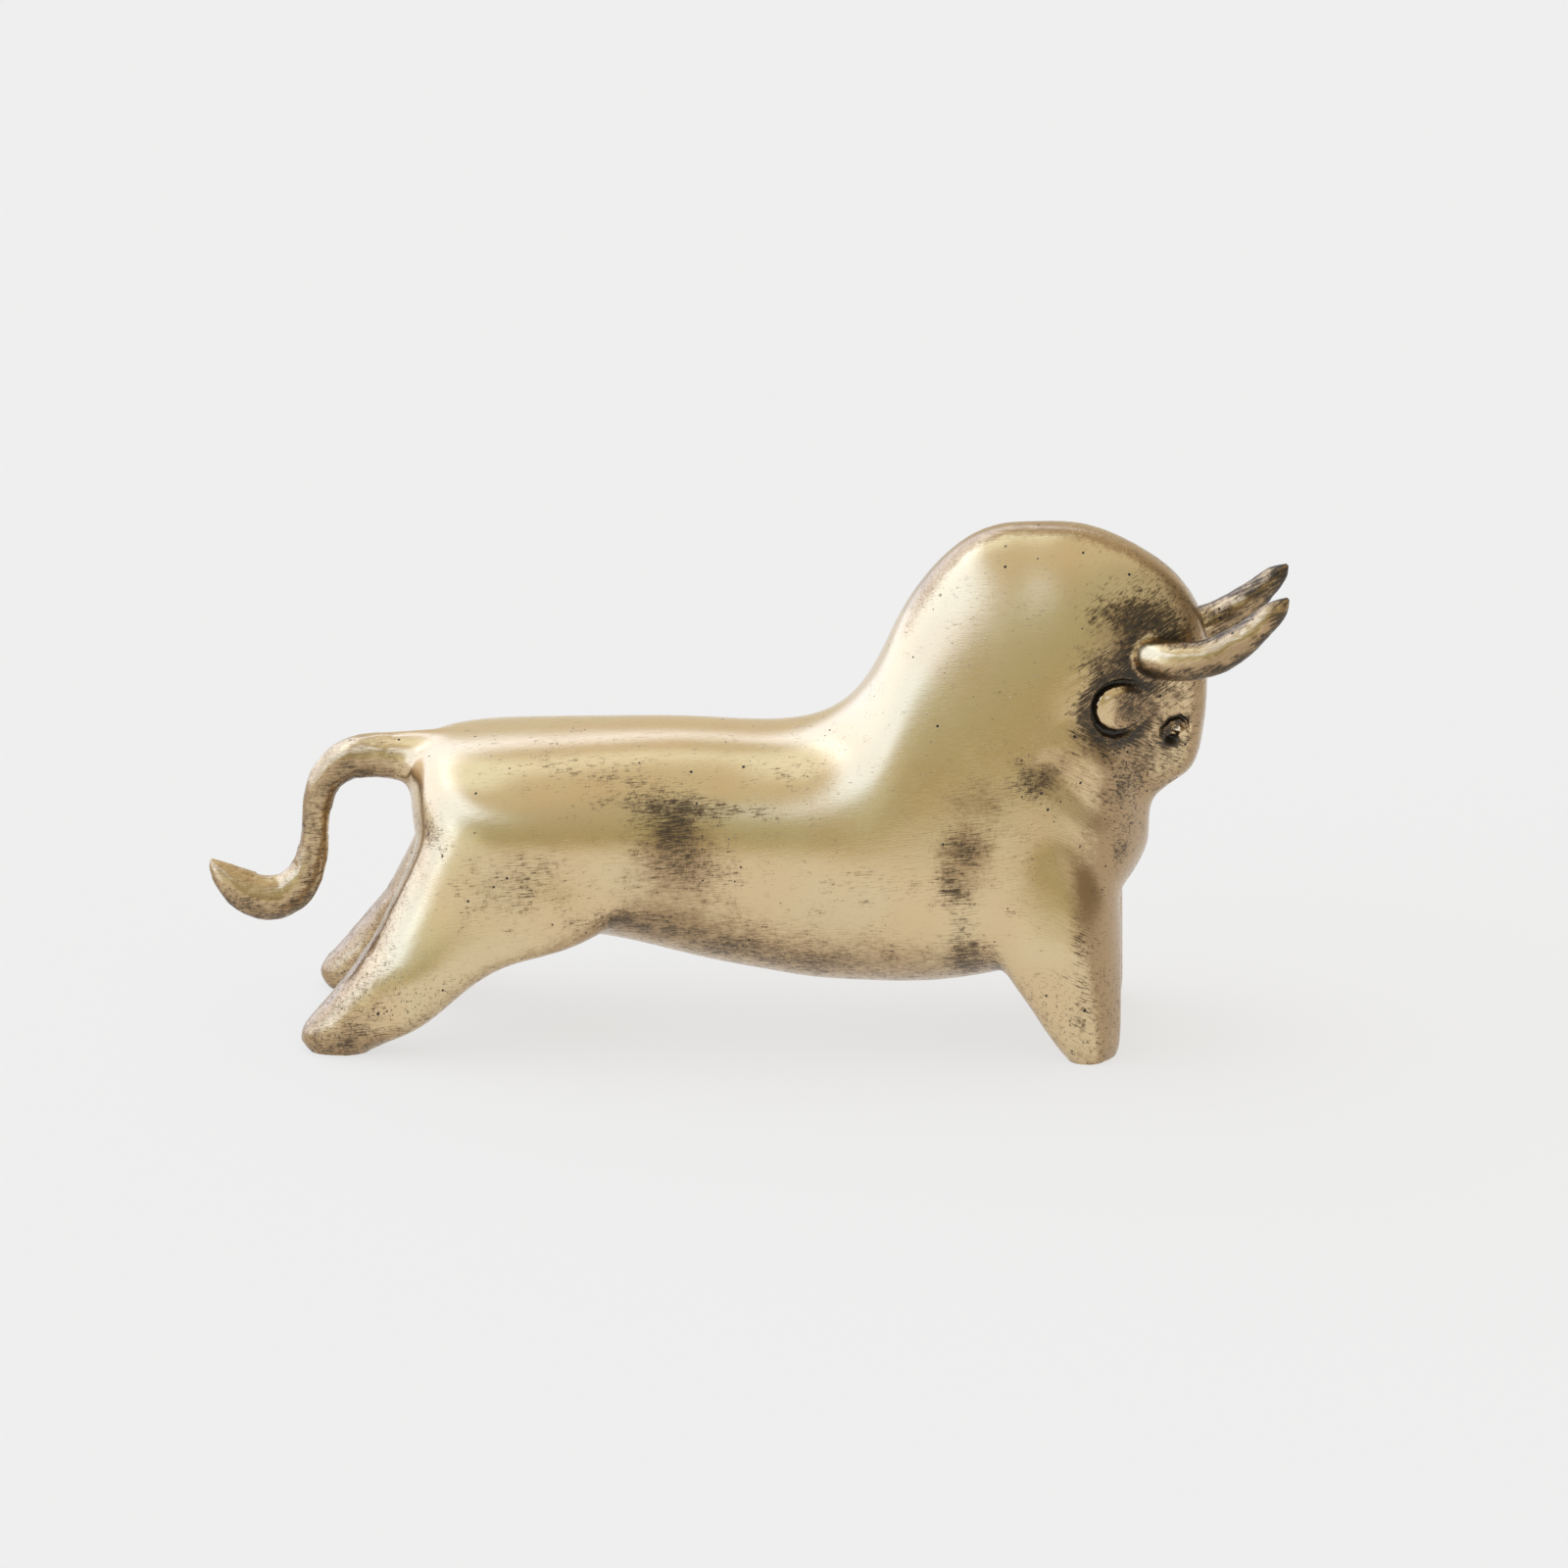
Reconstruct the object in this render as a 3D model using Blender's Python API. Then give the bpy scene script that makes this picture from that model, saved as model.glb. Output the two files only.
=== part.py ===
"""Cast brass bull: one solid casting, built in metres with +X along the bull's heading and +Z up.

The form is a set of lofts (barrel and chest, head, four legs, tail) that a fine remesh and a
smoothing melt into one skin. Horns and ears are then joined on with crisp roots,
and the eyes, ear grooves and mouth are cut in. The soles are cut flat at z = 0.

Every table row is given in 320ths of the bull's length, so a row reads as millimetres on a bull that
is 320 mm from tail tip to horn tips.
"""

import math

import bmesh
import bpy
import numpy as np

LENGTH = 0.320           # tail tip to horn tips
UNIT = LENGTH / 320      # one table unit

VOXEL = 1.3 * UNIT       # grid of the remesh that melts the lofts together
MELT_PASSES = 26         # smoothing passes after the remesh
SKIN_TRIANGLE_SHARE = 0.046
CREST_RISE = 1.6         # how far a slice would rise above its top line before the crest is flattened
CREST_START = 30         # the flattened crest fades in over this x ...
CREST_FULL = 55          # ... to this one
CREST_SOFTNESS = 0.35    # rounding of the flattened crest's two edges

# Barrel, hump and chest, sliced across the body:
# x, top, bottom, height of the widest line, half width, upper power, lower power.
# Powers are those of a superellipse: 2 is round, more is boxier, less is more like a roof.
BODY_SLICES = [
    (-99.2, 77.5, 66.0, 72.0, 7.0, 2.0, 2.0),
    (-98.0, 82.6, 57.0, 70.0, 16.0, 2.1, 2.0),
    (-94.8, 86.4, 49.0, 67.0, 25.8, 2.2, 2.0),
    (-89.4, 88.6, 40.8, 63.0, 34.2, 2.2, 2.0),
    (-80.0, 89.8, 34.5, 59.0, 39.4, 2.3, 2.0),
    (-62.0, 90.9, 31.0, 57.0, 40.2, 2.3, 2.0),
    (-38.0, 92.0, 28.0, 56.0, 37.6, 2.3, 2.0),
    (-15.0, 92.3, 22.1, 55.0, 36.0, 2.3, 2.0),
    (8.0, 91.6, 17.6, 54.0, 37.0, 2.3, 2.0),
    (20.0, 93.8, 15.8, 54.5, 38.0, 2.2, 2.0),
    (30.0, 100.2, 15.3, 54.5, 39.0, 2.0, 2.0),
    (38.0, 111.7, 15.2, 52.5, 39.8, 1.9, 2.0),
    (46.0, 128.4, 15.3, 49.0, 40.2, 1.8, 2.0),
    (56.0, 142.1, 16.0, 46.5, 40.4, 1.7, 2.0),
    (68.0, 151.5, 18.0, 44.0, 40.2, 1.7, 2.0),
    (80.0, 154.3, 21.5, 43.0, 39.6, 1.7, 2.0),
    (92.0, 152.1, 27.5, 42.0, 37.2, 1.65, 2.1),
    (101.0, 138.9, 34.5, 48.0, 33.4, 1.75, 2.1),
    (108.0, 117.9, 42.0, 58.0, 27.5, 1.9, 2.1),
    (114.0, 94.9, 48.5, 63.0, 18.5, 2.0, 2.1),
    (118.6, 77.9, 57.0, 66.0, 8.0, 2.0, 2.0),
]

# Head, from inside the neck to the flat of the face: the same columns.
HEAD_SLICES = [
    (80.0, 153.8, 62.0, 72.0, 33.5, 1.7, 2.0),
    (88.0, 154.3, 64.0, 80.0, 31.2, 1.8, 2.0),
    (98.0, 153.6, 67.0, 88.0, 28.0, 1.9, 2.1),
    (106.0, 151.2, 69.0, 96.0, 24.3, 1.95, 2.2),
    (113.0, 147.8, 70.5, 103.0, 19.6, 2.1, 2.4),
    (120.0, 143.3, 72.0, 105.0, 15.8, 2.5, 2.6),
    (126.0, 138.2, 76.6, 106.0, 13.8, 2.7, 2.8),
    (130.6, 132.2, 79.4, 106.5, 12.4, 2.8, 2.8),
    (133.5, 126.0, 86.6, 107.0, 10.4, 2.8, 2.6),
    (135.4, 118.0, 100.0, 109.0, 7.0, 2.4, 2.4),
]

FRONT_LEAN = 9.0         # how far the front leg's outer front edge stands behind its inner one

# Legs, sliced level: z, rear edge, front edge, inner face, outer face (distances from the middle).
FRONT_LEG_LEVELS = [
    (-4.0, 98.0, 112.2, 25.0, 37.2),
    (0.0, 95.0, 113.6, 23.0, 39.6),
    (3.5, 92.2, 114.4, 21.8, 41.0),
    (8.0, 89.0, 114.6, 21.0, 41.8),
    (17.0, 83.2, 114.6, 18.5, 42.4),
    (26.0, 77.0, 114.6, 14.5, 42.6),
    (38.0, 72.4, 114.4, 8.5, 42.2),
    (50.0, 70.0, 113.0, 5.0, 40.4),
    (62.0, 69.5, 106.6, 4.0, 37.6),
    (74.0, 72.0, 98.0, 6.0, 33.0),
]
REAR_LEG_LEVELS = [
    (-4.0, -123.4, -113.0, 27.0, 37.0),
    (0.0, -128.0, -109.8, 24.5, 39.2),
    (5.0, -130.8, -98.4, 22.1, 41.8),
    (11.4, -125.8, -89.0, 20.0, 43.4),
    (20.0, -118.4, -79.4, 16.5, 43.8),
    (27.0, -113.2, -67.2, 11.5, 43.2),
    (34.0, -108.4, -44.0, 6.5, 42.3),
    (46.0, -102.6, -33.0, 3.5, 41.3),
    (58.0, -97.2, -43.0, 3.0, 40.0),
    (70.0, -93.0, -56.0, 4.0, 35.5),
]

# Tail: x, z, half thickness seen from the side, half width seen from above.
TAIL_PATH = [
    (-84.0, 80.2, 8.8, 9.8),
    (-98.0, 80.7, 8.0, 8.8),
    (-107.5, 81.1, 7.1, 7.5),
    (-115.6, 80.5, 6.6, 6.7),
    (-121.8, 77.5, 5.9, 6.1),
    (-126.2, 71.2, 5.1, 5.4),
    (-127.9, 62.0, 4.6, 4.9),
    (-128.6, 53.2, 4.8, 4.9),
    (-130.6, 45.2, 5.5, 5.3),
    (-135.4, 38.5, 6.5, 5.8),
    (-142.2, 36.3, 7.1, 6.2),
    (-149.2, 38.5, 6.8, 6.1),
    (-154.8, 42.6, 5.2, 4.9),
    (-158.8, 47.2, 2.7, 2.8),
    (-160.8, 49.8, 0.8, 0.8),
]

# Horn: x, distance from the middle, z, radius.
HORN_PATH = [
    (113.0, 7.0, 117.5, 5.4),
    (117.5, 13.0, 117.6, 6.0),
    (123.5, 17.6, 117.6, 6.0),
    (131.5, 19.8, 118.0, 5.7),
    (139.0, 20.4, 120.4, 5.4),
    (146.0, 20.2, 125.0, 4.8),
    (152.2, 19.8, 130.5, 3.9),
    (156.8, 19.5, 135.1, 2.2),
    (158.4, 19.4, 137.0, 0.5),
]

EAR_CENTRE = (111.7, 103.4)      # along and up
EAR_HALF_SIZE = (10.2, 2.7, 5.6)
EAR_SINK = 0.9                   # how far the ear's middle lies inside the skin
EAR_TURN = math.radians(37)      # the ear follows the neck's taper
EAR_GROOVE_CENTRE = (109.2, 103.7)
EAR_GROOVE_HALF_SIZE = (8.2, 7.0)
EAR_GROOVE_START, EAR_GROOVE_END = 62, 298    # degrees, 180 being behind the ear
EAR_GROOVE_RADIUS = 1.9

EYE_CENTRE = (126.2, 95.0)
EYE_SOCKET_RADIUS = 3.0
EYE_RADIUS = 1.7

MOUTH_CENTRE = (127.3, 0.0, 78.2)
MOUTH_SIZE = (3.6, 13.0, 1.6)
MOUTH_PITCH = math.radians(30)


def spline(rows, count):
    """A natural cubic spline through the rows, sampled evenly along its length."""
    points = np.array(rows, float)
    steps = np.linalg.norm(np.diff(points[:, :3], axis=0), axis=1)
    knots = np.concatenate([[0.0], np.cumsum(steps)])
    n = len(points)
    matrix = np.eye(n)
    right = np.zeros_like(points)
    for i in range(1, n - 1):
        a, b = steps[i - 1], steps[i]
        matrix[i, i - 1:i + 2] = a, 2 * (a + b), b
        right[i] = 6 * ((points[i + 1] - points[i]) / b - (points[i] - points[i - 1]) / a)
    bend = np.linalg.solve(matrix, right)
    at = np.linspace(0, knots[-1], count)
    k = np.clip(np.searchsorted(knots, at, side="right") - 1, 0, n - 2)
    h = steps[k][:, None]
    u = (at - knots[k])[:, None]
    v = h - u
    return (
        bend[k] * v ** 3 / (6 * h) + bend[k + 1] * u ** 3 / (6 * h)
        + (points[k] / h - bend[k] * h / 6) * v + (points[k + 1] / h - bend[k + 1] * h / 6) * u
    )


def signed_power(value, power):
    return math.copysign(abs(value) ** power, value)


def crest_rise(x):
    return CREST_RISE * min(1.0, max(0.0, (x - CREST_START) / (CREST_FULL - CREST_START)))


def flatten_crest(z, top):
    """A soft minimum of z and the top line."""
    return top - CREST_SOFTNESS * math.log1p(math.exp((top - z) / CREST_SOFTNESS))


def slice_ring(row, around):
    """One upright slice of the body or head: an upper and a lower half superellipse."""
    x, top, bottom, widest, half_width, upper_power, lower_power = row
    ring = []
    for i in range(around):
        angle = 2 * math.pi * i / around
        c, s = math.cos(angle), math.sin(angle)
        power = 2 / (upper_power if c > 0 else lower_power)
        height = top + crest_rise(x) - widest if c > 0 else widest - bottom
        z = widest + height * signed_power(c, power)
        if crest_rise(x) > 0:
            z = flatten_crest(z, top)
        ring.append((x, half_width * signed_power(s, power), z))
    return ring


def side_at(slices, x, z):
    """Half width of a loft at a point of its side."""
    row = slices[np.abs(slices[:, 0] - x).argmin()]
    top, bottom, widest, half_width, upper_power, lower_power = row[1:]
    power = upper_power if z > widest else lower_power
    share = (z - widest) / (top + crest_rise(x) - widest if z > widest else bottom - widest)
    return half_width * max(0.0, 1 - abs(share) ** power) ** (1 / power)


def skin_at(x, z):
    """Half width of the head and neck together at a point of their side."""
    return max(side_at(spline(BODY_SLICES, 400), x, z), side_at(spline(HEAD_SLICES, 400), x, z))


def level_ring(row, side, around, lean=0.0, boxiness=2.7):
    """One level slice of a leg. Its front leans back by `lean` from the inner face to the outer one."""
    z, rear, front, inner, outer = row
    ring = []
    for i in range(around):
        angle = 2 * math.pi * i / around
        c = signed_power(math.cos(angle), 2 / boxiness)
        s = signed_power(math.sin(angle), 2 / boxiness)
        x = (rear + front) / 2 + (front - rear) / 2 * c
        x -= lean * max(0.0, c) * (1 + s) / 2
        y = (inner + outer) / 2 + (outer - inner) / 2 * s
        ring.append((x, side * y, z))
    return ring


def swept_rings(path, thickness, width, around, boxiness=2.0):
    """Superelliptic rings square to a path, thickness across it in the upright plane."""
    tangents = np.gradient(path, axis=0)
    tangents /= np.linalg.norm(tangents, axis=1)[:, None]
    rings = []
    for point, along, a, b in zip(path, tangents, thickness, width):
        across = np.cross(along, (0, 1, 0))
        across /= np.linalg.norm(across)
        sideways = np.cross(along, across)
        ring = []
        for i in range(around):
            angle = 2 * math.pi * i / around
            c = signed_power(math.cos(angle), 2 / boxiness)
            s = signed_power(math.sin(angle), 2 / boxiness)
            ring.append(point + across * a * c + sideways * b * s)
        rings.append(ring)
    return rings


def add_loft(shape, rings):
    """Adds a closed skin over the rings to a bmesh."""
    loops = [[shape.verts.new([v * UNIT for v in p]) for p in ring] for ring in rings]
    made = []
    for lower, upper in zip(loops, loops[1:]):
        for i in range(len(lower)):
            j = (i + 1) % len(lower)
            made.append(shape.faces.new((lower[i], lower[j], upper[j], upper[i])))
    made.append(shape.faces.new(reversed(loops[0])))
    made.append(shape.faces.new(loops[-1]))
    bmesh.ops.recalc_face_normals(shape, faces=made)


def bull_skin():
    """The barrel, head, legs and tail as overlapping closed lofts in one mesh."""
    shape = bmesh.new()
    add_loft(shape, [slice_ring(row, 72) for row in spline(BODY_SLICES, 110)])
    add_loft(shape, [slice_ring(row, 56) for row in spline(HEAD_SLICES, 40)])
    for side in (-1, 1):
        add_loft(shape, [level_ring(row, side, 48, FRONT_LEAN) for row in spline(FRONT_LEG_LEVELS, 40)])
        add_loft(shape, [level_ring(row, side, 48) for row in spline(REAR_LEG_LEVELS, 40)])
    tail = spline(TAIL_PATH, 70)
    path = np.column_stack([tail[:, 0], np.zeros(len(tail)), tail[:, 1]])
    add_loft(shape, swept_rings(path, tail[:, 2], tail[:, 3], 28, 2.3))
    mesh = bpy.data.meshes.new("bull")
    shape.to_mesh(mesh)
    shape.free()
    return mesh


def horn_mesh(side):
    shape = bmesh.new()
    horn = spline(HORN_PATH, 18)
    path = np.column_stack([horn[:, 0], side * horn[:, 1], horn[:, 2]])
    add_loft(shape, swept_rings(path, horn[:, 3], horn[:, 3], 14))
    mesh = bpy.data.meshes.new("horn")
    shape.to_mesh(mesh)
    shape.free()
    return mesh


def ear_object(side):
    """A laid-back lobe that stands a little out of the neck."""
    x, z = EAR_CENTRE
    shape = bmesh.new()
    bmesh.ops.create_uvsphere(shape, u_segments=16, v_segments=10, radius=1.0)
    mesh = bpy.data.meshes.new("ear")
    shape.to_mesh(mesh)
    shape.free()
    ear = bpy.data.objects.new("ear", mesh)
    ear.location = [v * UNIT for v in (x, side * (skin_at(x, z) - EAR_SINK), z)]
    ear.scale = [v * UNIT for v in EAR_HALF_SIZE]
    ear.rotation_euler = (0, 0, -side * EAR_TURN)
    return ear


def ear_groove_mesh(side):
    """An open ring of round section that runs over, behind and under the ear."""
    x, z = EAR_GROOVE_CENTRE
    path = []
    for angle in np.radians(np.linspace(EAR_GROOVE_START, EAR_GROOVE_END, 19)):
        px = x + EAR_GROOVE_HALF_SIZE[0] * math.cos(angle)
        pz = z + EAR_GROOVE_HALF_SIZE[1] * math.sin(angle)
        path.append((px, side * skin_at(px, pz), pz))
    path = np.array(path)
    swell = EAR_GROOVE_RADIUS * np.sin(np.linspace(0.12, math.pi - 0.12, len(path))) ** 0.4
    shape = bmesh.new()
    add_loft(shape, swept_rings(path, swell, swell, 10))
    mesh = bpy.data.meshes.new("ear_groove")
    shape.to_mesh(mesh)
    shape.free()
    return mesh


def eye_object(side, radius, out):
    """A small faceted ball on the cheek, `out` being how far its middle stands outside the skin."""
    x, z = EYE_CENTRE
    shape = bmesh.new()
    bmesh.ops.create_icosphere(shape, subdivisions=2, radius=radius * UNIT)
    mesh = bpy.data.meshes.new("eye")
    shape.to_mesh(mesh)
    shape.free()
    eye = bpy.data.objects.new("eye", mesh)
    eye.location = [v * UNIT for v in (x, side * (skin_at(x, z) + out), z)]
    return eye


def mouth_block():
    """A thin bar across the underside of the chin."""
    shape = bmesh.new()
    bmesh.ops.create_cube(shape, size=1.0)
    mesh = bpy.data.meshes.new("mouth")
    shape.to_mesh(mesh)
    shape.free()
    mouth = bpy.data.objects.new("mouth", mesh)
    mouth.location = [v * UNIT for v in MOUTH_CENTRE]
    mouth.scale = [v * UNIT for v in MOUTH_SIZE]
    mouth.rotation_euler = (0, -MOUTH_PITCH, 0)
    return mouth


def floor_block():
    """A block under z = 0 that cuts the soles flat."""
    shape = bmesh.new()
    bmesh.ops.create_cube(shape, size=1.0)
    mesh = bpy.data.meshes.new("floor_block")
    shape.to_mesh(mesh)
    shape.free()
    block = bpy.data.objects.new("floor_block", mesh)
    block.scale = (1.2 * LENGTH, LENGTH, 0.1 * LENGTH)
    block.location = (0, 0, -0.05 * LENGTH)
    return block


def brass():
    material = bpy.data.materials.new("antique_brass")
    material.use_nodes = True
    shader = material.node_tree.nodes["Principled BSDF"]
    shader.inputs["Base Color"].default_value = (0.60, 0.46, 0.24, 1)
    shader.inputs["Metallic"].default_value = 1.0
    shader.inputs["Roughness"].default_value = 0.3
    return material


def helper_collection(name):
    made = bpy.data.collections.new(name)
    bpy.context.scene.collection.children.link(made)
    return made


def link_helper(collection, helper):
    helper.hide_render = True
    helper.display_type = "WIRE"
    collection.objects.link(helper)


def main():
    for old in list(bpy.data.objects):
        bpy.data.objects.remove(old)

    raised = helper_collection("raised")
    cut = helper_collection("cut")
    inlaid = helper_collection("inlaid")
    for side, name in ((-1, "right"), (1, "left")):
        link_helper(raised, bpy.data.objects.new("horn_" + name, horn_mesh(side)))
        link_helper(cut, bpy.data.objects.new("ear_groove_" + name, ear_groove_mesh(side)))
        link_helper(cut, eye_object(side, EYE_SOCKET_RADIUS, 1.2))
        link_helper(inlaid, ear_object(side))
        link_helper(inlaid, eye_object(side, EYE_RADIUS, -0.9))
    link_helper(cut, mouth_block())
    link_helper(cut, floor_block())

    bull = bpy.data.objects.new("bull", bull_skin())
    bpy.context.scene.collection.objects.link(bull)
    bull.data.materials.append(brass())

    melt = bull.modifiers.new("melt", "REMESH")
    melt.mode = "VOXEL"
    melt.voxel_size = VOXEL
    smooth = bull.modifiers.new("smooth", "SMOOTH")
    smooth.factor = 0.5
    smooth.iterations = MELT_PASSES
    thin = bull.modifiers.new("thin", "DECIMATE")
    thin.ratio = SKIN_TRIANGLE_SHARE
    join = bull.modifiers.new("join_raised", "BOOLEAN")
    join.operation = "UNION"
    join.operand_type = "COLLECTION"
    join.collection = raised
    carve = bull.modifiers.new("carve", "BOOLEAN")
    carve.operation = "DIFFERENCE"
    carve.operand_type = "COLLECTION"
    carve.collection = cut
    inlay = bull.modifiers.new("join_inlaid", "BOOLEAN")
    inlay.operation = "UNION"
    inlay.operand_type = "COLLECTION"
    inlay.collection = inlaid


main()
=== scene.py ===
import math

import bmesh
import bpy
import numpy as np
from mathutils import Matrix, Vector


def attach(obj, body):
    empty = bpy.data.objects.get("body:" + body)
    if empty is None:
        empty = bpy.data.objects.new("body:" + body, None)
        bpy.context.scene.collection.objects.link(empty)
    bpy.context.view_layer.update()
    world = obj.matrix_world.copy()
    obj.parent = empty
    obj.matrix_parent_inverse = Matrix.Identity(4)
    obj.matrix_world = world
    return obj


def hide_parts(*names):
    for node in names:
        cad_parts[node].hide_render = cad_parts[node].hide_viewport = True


# Cast brass bull on four soles: one casting with horns, ears and eyes, filed and brushed by hand,
# with dark patina left in its hollows. The tables are in millimetres.

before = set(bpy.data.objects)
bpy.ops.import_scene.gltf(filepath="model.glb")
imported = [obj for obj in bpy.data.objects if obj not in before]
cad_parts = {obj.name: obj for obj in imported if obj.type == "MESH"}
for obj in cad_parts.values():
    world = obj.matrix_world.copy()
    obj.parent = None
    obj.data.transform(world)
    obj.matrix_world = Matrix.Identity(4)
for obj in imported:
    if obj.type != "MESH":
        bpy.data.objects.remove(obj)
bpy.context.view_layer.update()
mm = 0.001
print("frame loaded")


# Plain helpers for surfaces worked out as whole arrays

def smoothStep(value, low, high):
    # 0 below low, 1 above high, and the cubic 3t^2 - 2t^3 between them
    t = np.clip((value - low) / (high - low), 0.0, 1.0)
    return t * t * (3 - 2 * t)


def signedPower(value, power):
    # the size of the value raised to the power, with its sign kept
    return np.sign(value) * np.abs(value) ** power


def naturalSpline(rows, count):
    # natural cubic spline through the rows, knots spaced by the distance over the first three columns
    points = np.array(rows, float)
    gaps = np.diff(points, axis=0)
    steps = np.linalg.norm(gaps[:, :3], axis=1)
    knots = np.concatenate([[0.0], np.cumsum(steps)])
    inner = np.arange(1, len(points) - 1)
    matrix = np.eye(len(points))
    matrix[inner, inner - 1] = steps[:-1]
    matrix[inner, inner] = 2 * (steps[:-1] + steps[1:])
    matrix[inner, inner + 1] = steps[1:]
    slopes = gaps / steps[:, None]
    right = np.zeros_like(points)
    right[1:-1] = 6 * np.diff(slopes, axis=0)
    bend = np.linalg.solve(matrix, right)
    at = np.linspace(0, knots[-1], count)
    k = np.clip(np.searchsorted(knots, at, side="right") - 1, 0, len(points) - 2)
    h = steps[k][:, None]
    u = (at - knots[k])[:, None]
    v = h - u
    return (
        bend[k] * v ** 3 / (6 * h) + bend[k + 1] * u ** 3 / (6 * h)
        + (points[k] / h - bend[k] * h / 6) * v + (points[k + 1] / h - bend[k + 1] * h / 6) * u
    )


def valueNoise(points, size, seed):
    # smooth noise from -1 to 1: hashed values on a lattice of the given size, eased between its corners
    p = points / size
    cell = np.floor(p).astype(np.int64)
    t = p - cell
    t = t * t * (3 - 2 * t)
    total = np.zeros(len(points))
    for corner in range(8):
        step = np.array([corner & 1, (corner >> 1) & 1, (corner >> 2) & 1])
        key = (cell + step) @ np.array([73856093, 19349663, 83492791]) + seed * 2654435761
        key = (key ^ (key >> 15)) * 2246822519 & 0xFFFFFFFF
        key = (key ^ (key >> 13)) * 3266489917 & 0xFFFFFFFF
        value = (key ^ (key >> 16)) % 65536 / 32767.5 - 1
        weight = np.prod(np.where(step == 1, t, 1 - t), axis=1)
        total += value * weight
    return total


def alongPath(points, path):
    # distance from each point to a polyline, and the share of the polyline's length at the nearest place
    a, b = path[:-1], path[1:]
    run = b - a
    length = np.linalg.norm(run, axis=1)
    start = np.concatenate([[0.0], np.cumsum(length)[:-1]])
    t = ((points[:, None] - a) * run).sum(2) / length ** 2
    t = np.clip(t, 0, 1)
    gap = np.linalg.norm(points[:, None] - (a + run * t[..., None]), axis=2)
    nearest = gap.argmin(1)
    row = np.arange(len(points))
    return gap[row, nearest], (start + t * length)[row, nearest] / length.sum()


def lengthShares(path):
    # the share of a polyline's length at each of its points
    length = np.linalg.norm(np.diff(path, axis=0), axis=1)
    return np.concatenate([[0.0], np.cumsum(length)]) / length.sum()


def neighbourMean(values, edges, count):
    # each point's value replaced by the mean of its neighbours' values
    ends = np.concatenate([edges[:, 0], edges[:, 1]])
    others = np.concatenate([edges[:, 1], edges[:, 0]])
    number = np.maximum(np.bincount(ends, minlength=count), 1)
    if values.ndim == 1:
        return np.bincount(ends, values[others], count) / number
    columns = [np.bincount(ends, values[others, i], count) / number for i in range(values.shape[1])]
    return np.stack(columns, axis=1)


def relaxed(values, edges, passes, share=0.5):
    # each pass moves every value by that share towards the mean of its neighbours
    share = np.asarray(share, float)
    share = share[:, None] if share.ndim and values.ndim > 1 else share
    for _ in range(passes):
        values = values + (neighbourMean(values, edges, len(values)) - values) * share
    return values


def fanTriangles(faces):
    # faces are rows of up to eight corners, padded with -1, and each becomes a fan from its first corner
    fans = []
    for j in range(1, faces.shape[1] - 1):
        row = faces[faces[:, j + 1] >= 0]
        fans.append(np.stack([row[:, 0], row[:, j], row[:, j + 1]], axis=1))
    return np.concatenate(fans)


def faceEdges(faces):
    # every edge of the faces once, as pairs of points
    count = (faces >= 0).sum(1)
    column = np.arange(faces.shape[1])
    after = np.where(column + 1 < count[:, None], column + 1, 0)
    following = np.take_along_axis(faces, after, axis=1)
    kept = faces >= 0
    pairs = np.sort(np.stack([faces[kept], following[kept]], axis=1), axis=1)
    return np.unique(pairs, axis=0)


def pointNormals(points, triangles):
    # the sum of the crossed edges of the triangles round each point, at unit length
    a, b, c = points[triangles[:, 0]], points[triangles[:, 1]], points[triangles[:, 2]]
    crossed = np.cross(b - a, c - a)
    total = np.zeros_like(points)
    for corner in range(3):
        for axis in range(3):
            total[:, axis] += np.bincount(triangles[:, corner], crossed[:, axis], len(points))
    return total / np.maximum(np.linalg.norm(total, axis=1)[:, None], 1e-12)


def refined(points, faces, chosen):
    # each chosen quad becomes four, and a face beside one takes the new edge middles into its outline
    width = faces.shape[1]
    count = (faces >= 0).sum(1)
    chosen = chosen & (count == 4)
    quads = faces[chosen][:, :4]
    following = np.roll(quads, -1, axis=1)
    total = len(points)
    key = np.minimum(quads, following).astype(np.int64) * total + np.maximum(quads, following)
    keys, place = np.unique(key, return_inverse=True)
    middle = total + place.reshape(quads.shape)
    centre = total + len(keys) + np.arange(len(quads))
    middles = (points[keys // total] + points[keys % total]) / 2
    points = np.concatenate([points, middles, points[quads].mean(1)])
    split = np.full((len(quads), 4, width), -1)
    for corner in range(4):
        split[:, corner, 0] = quads[:, corner]
        split[:, corner, 1] = middle[:, corner]
        split[:, corner, 2] = centre
        split[:, corner, 3] = middle[:, corner - 1]
    rest = faces[~chosen]
    count = count[~chosen]
    column = np.arange(width)
    after = np.where(column + 1 < count[:, None], column + 1, 0)
    following = np.take_along_axis(rest, after, axis=1)
    key = np.minimum(rest, following).astype(np.int64) * total + np.maximum(rest, following)
    found = np.clip(np.searchsorted(keys, key), 0, len(keys) - 1)
    added = np.where((keys[found] == key) & (rest >= 0), total + found, -1)
    woven = np.stack([rest, added], axis=2).reshape(len(rest), 2 * width)
    order = np.argsort(woven < 0, axis=1, kind="stable")
    woven = np.take_along_axis(woven, order, axis=1)[:, :width]
    return points, np.concatenate([split.reshape(-1, width), woven])


def newMesh(name, points, faces):
    # a mesh from points in millimetres and padded faces
    count = (faces >= 0).sum(1)
    mesh = bpy.data.meshes.new(name)
    mesh.vertices.add(len(points))
    mesh.vertices.foreach_set("co", (points * mm).astype(np.float32).ravel())
    mesh.loops.add(int(count.sum()))
    mesh.loops.foreach_set("vertex_index", faces[faces >= 0].astype(np.int32))
    mesh.polygons.add(len(faces))
    mesh.polygons.foreach_set("loop_start", (np.cumsum(count) - count).astype(np.int32))
    mesh.update(calc_edges=True)
    return mesh


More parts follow.
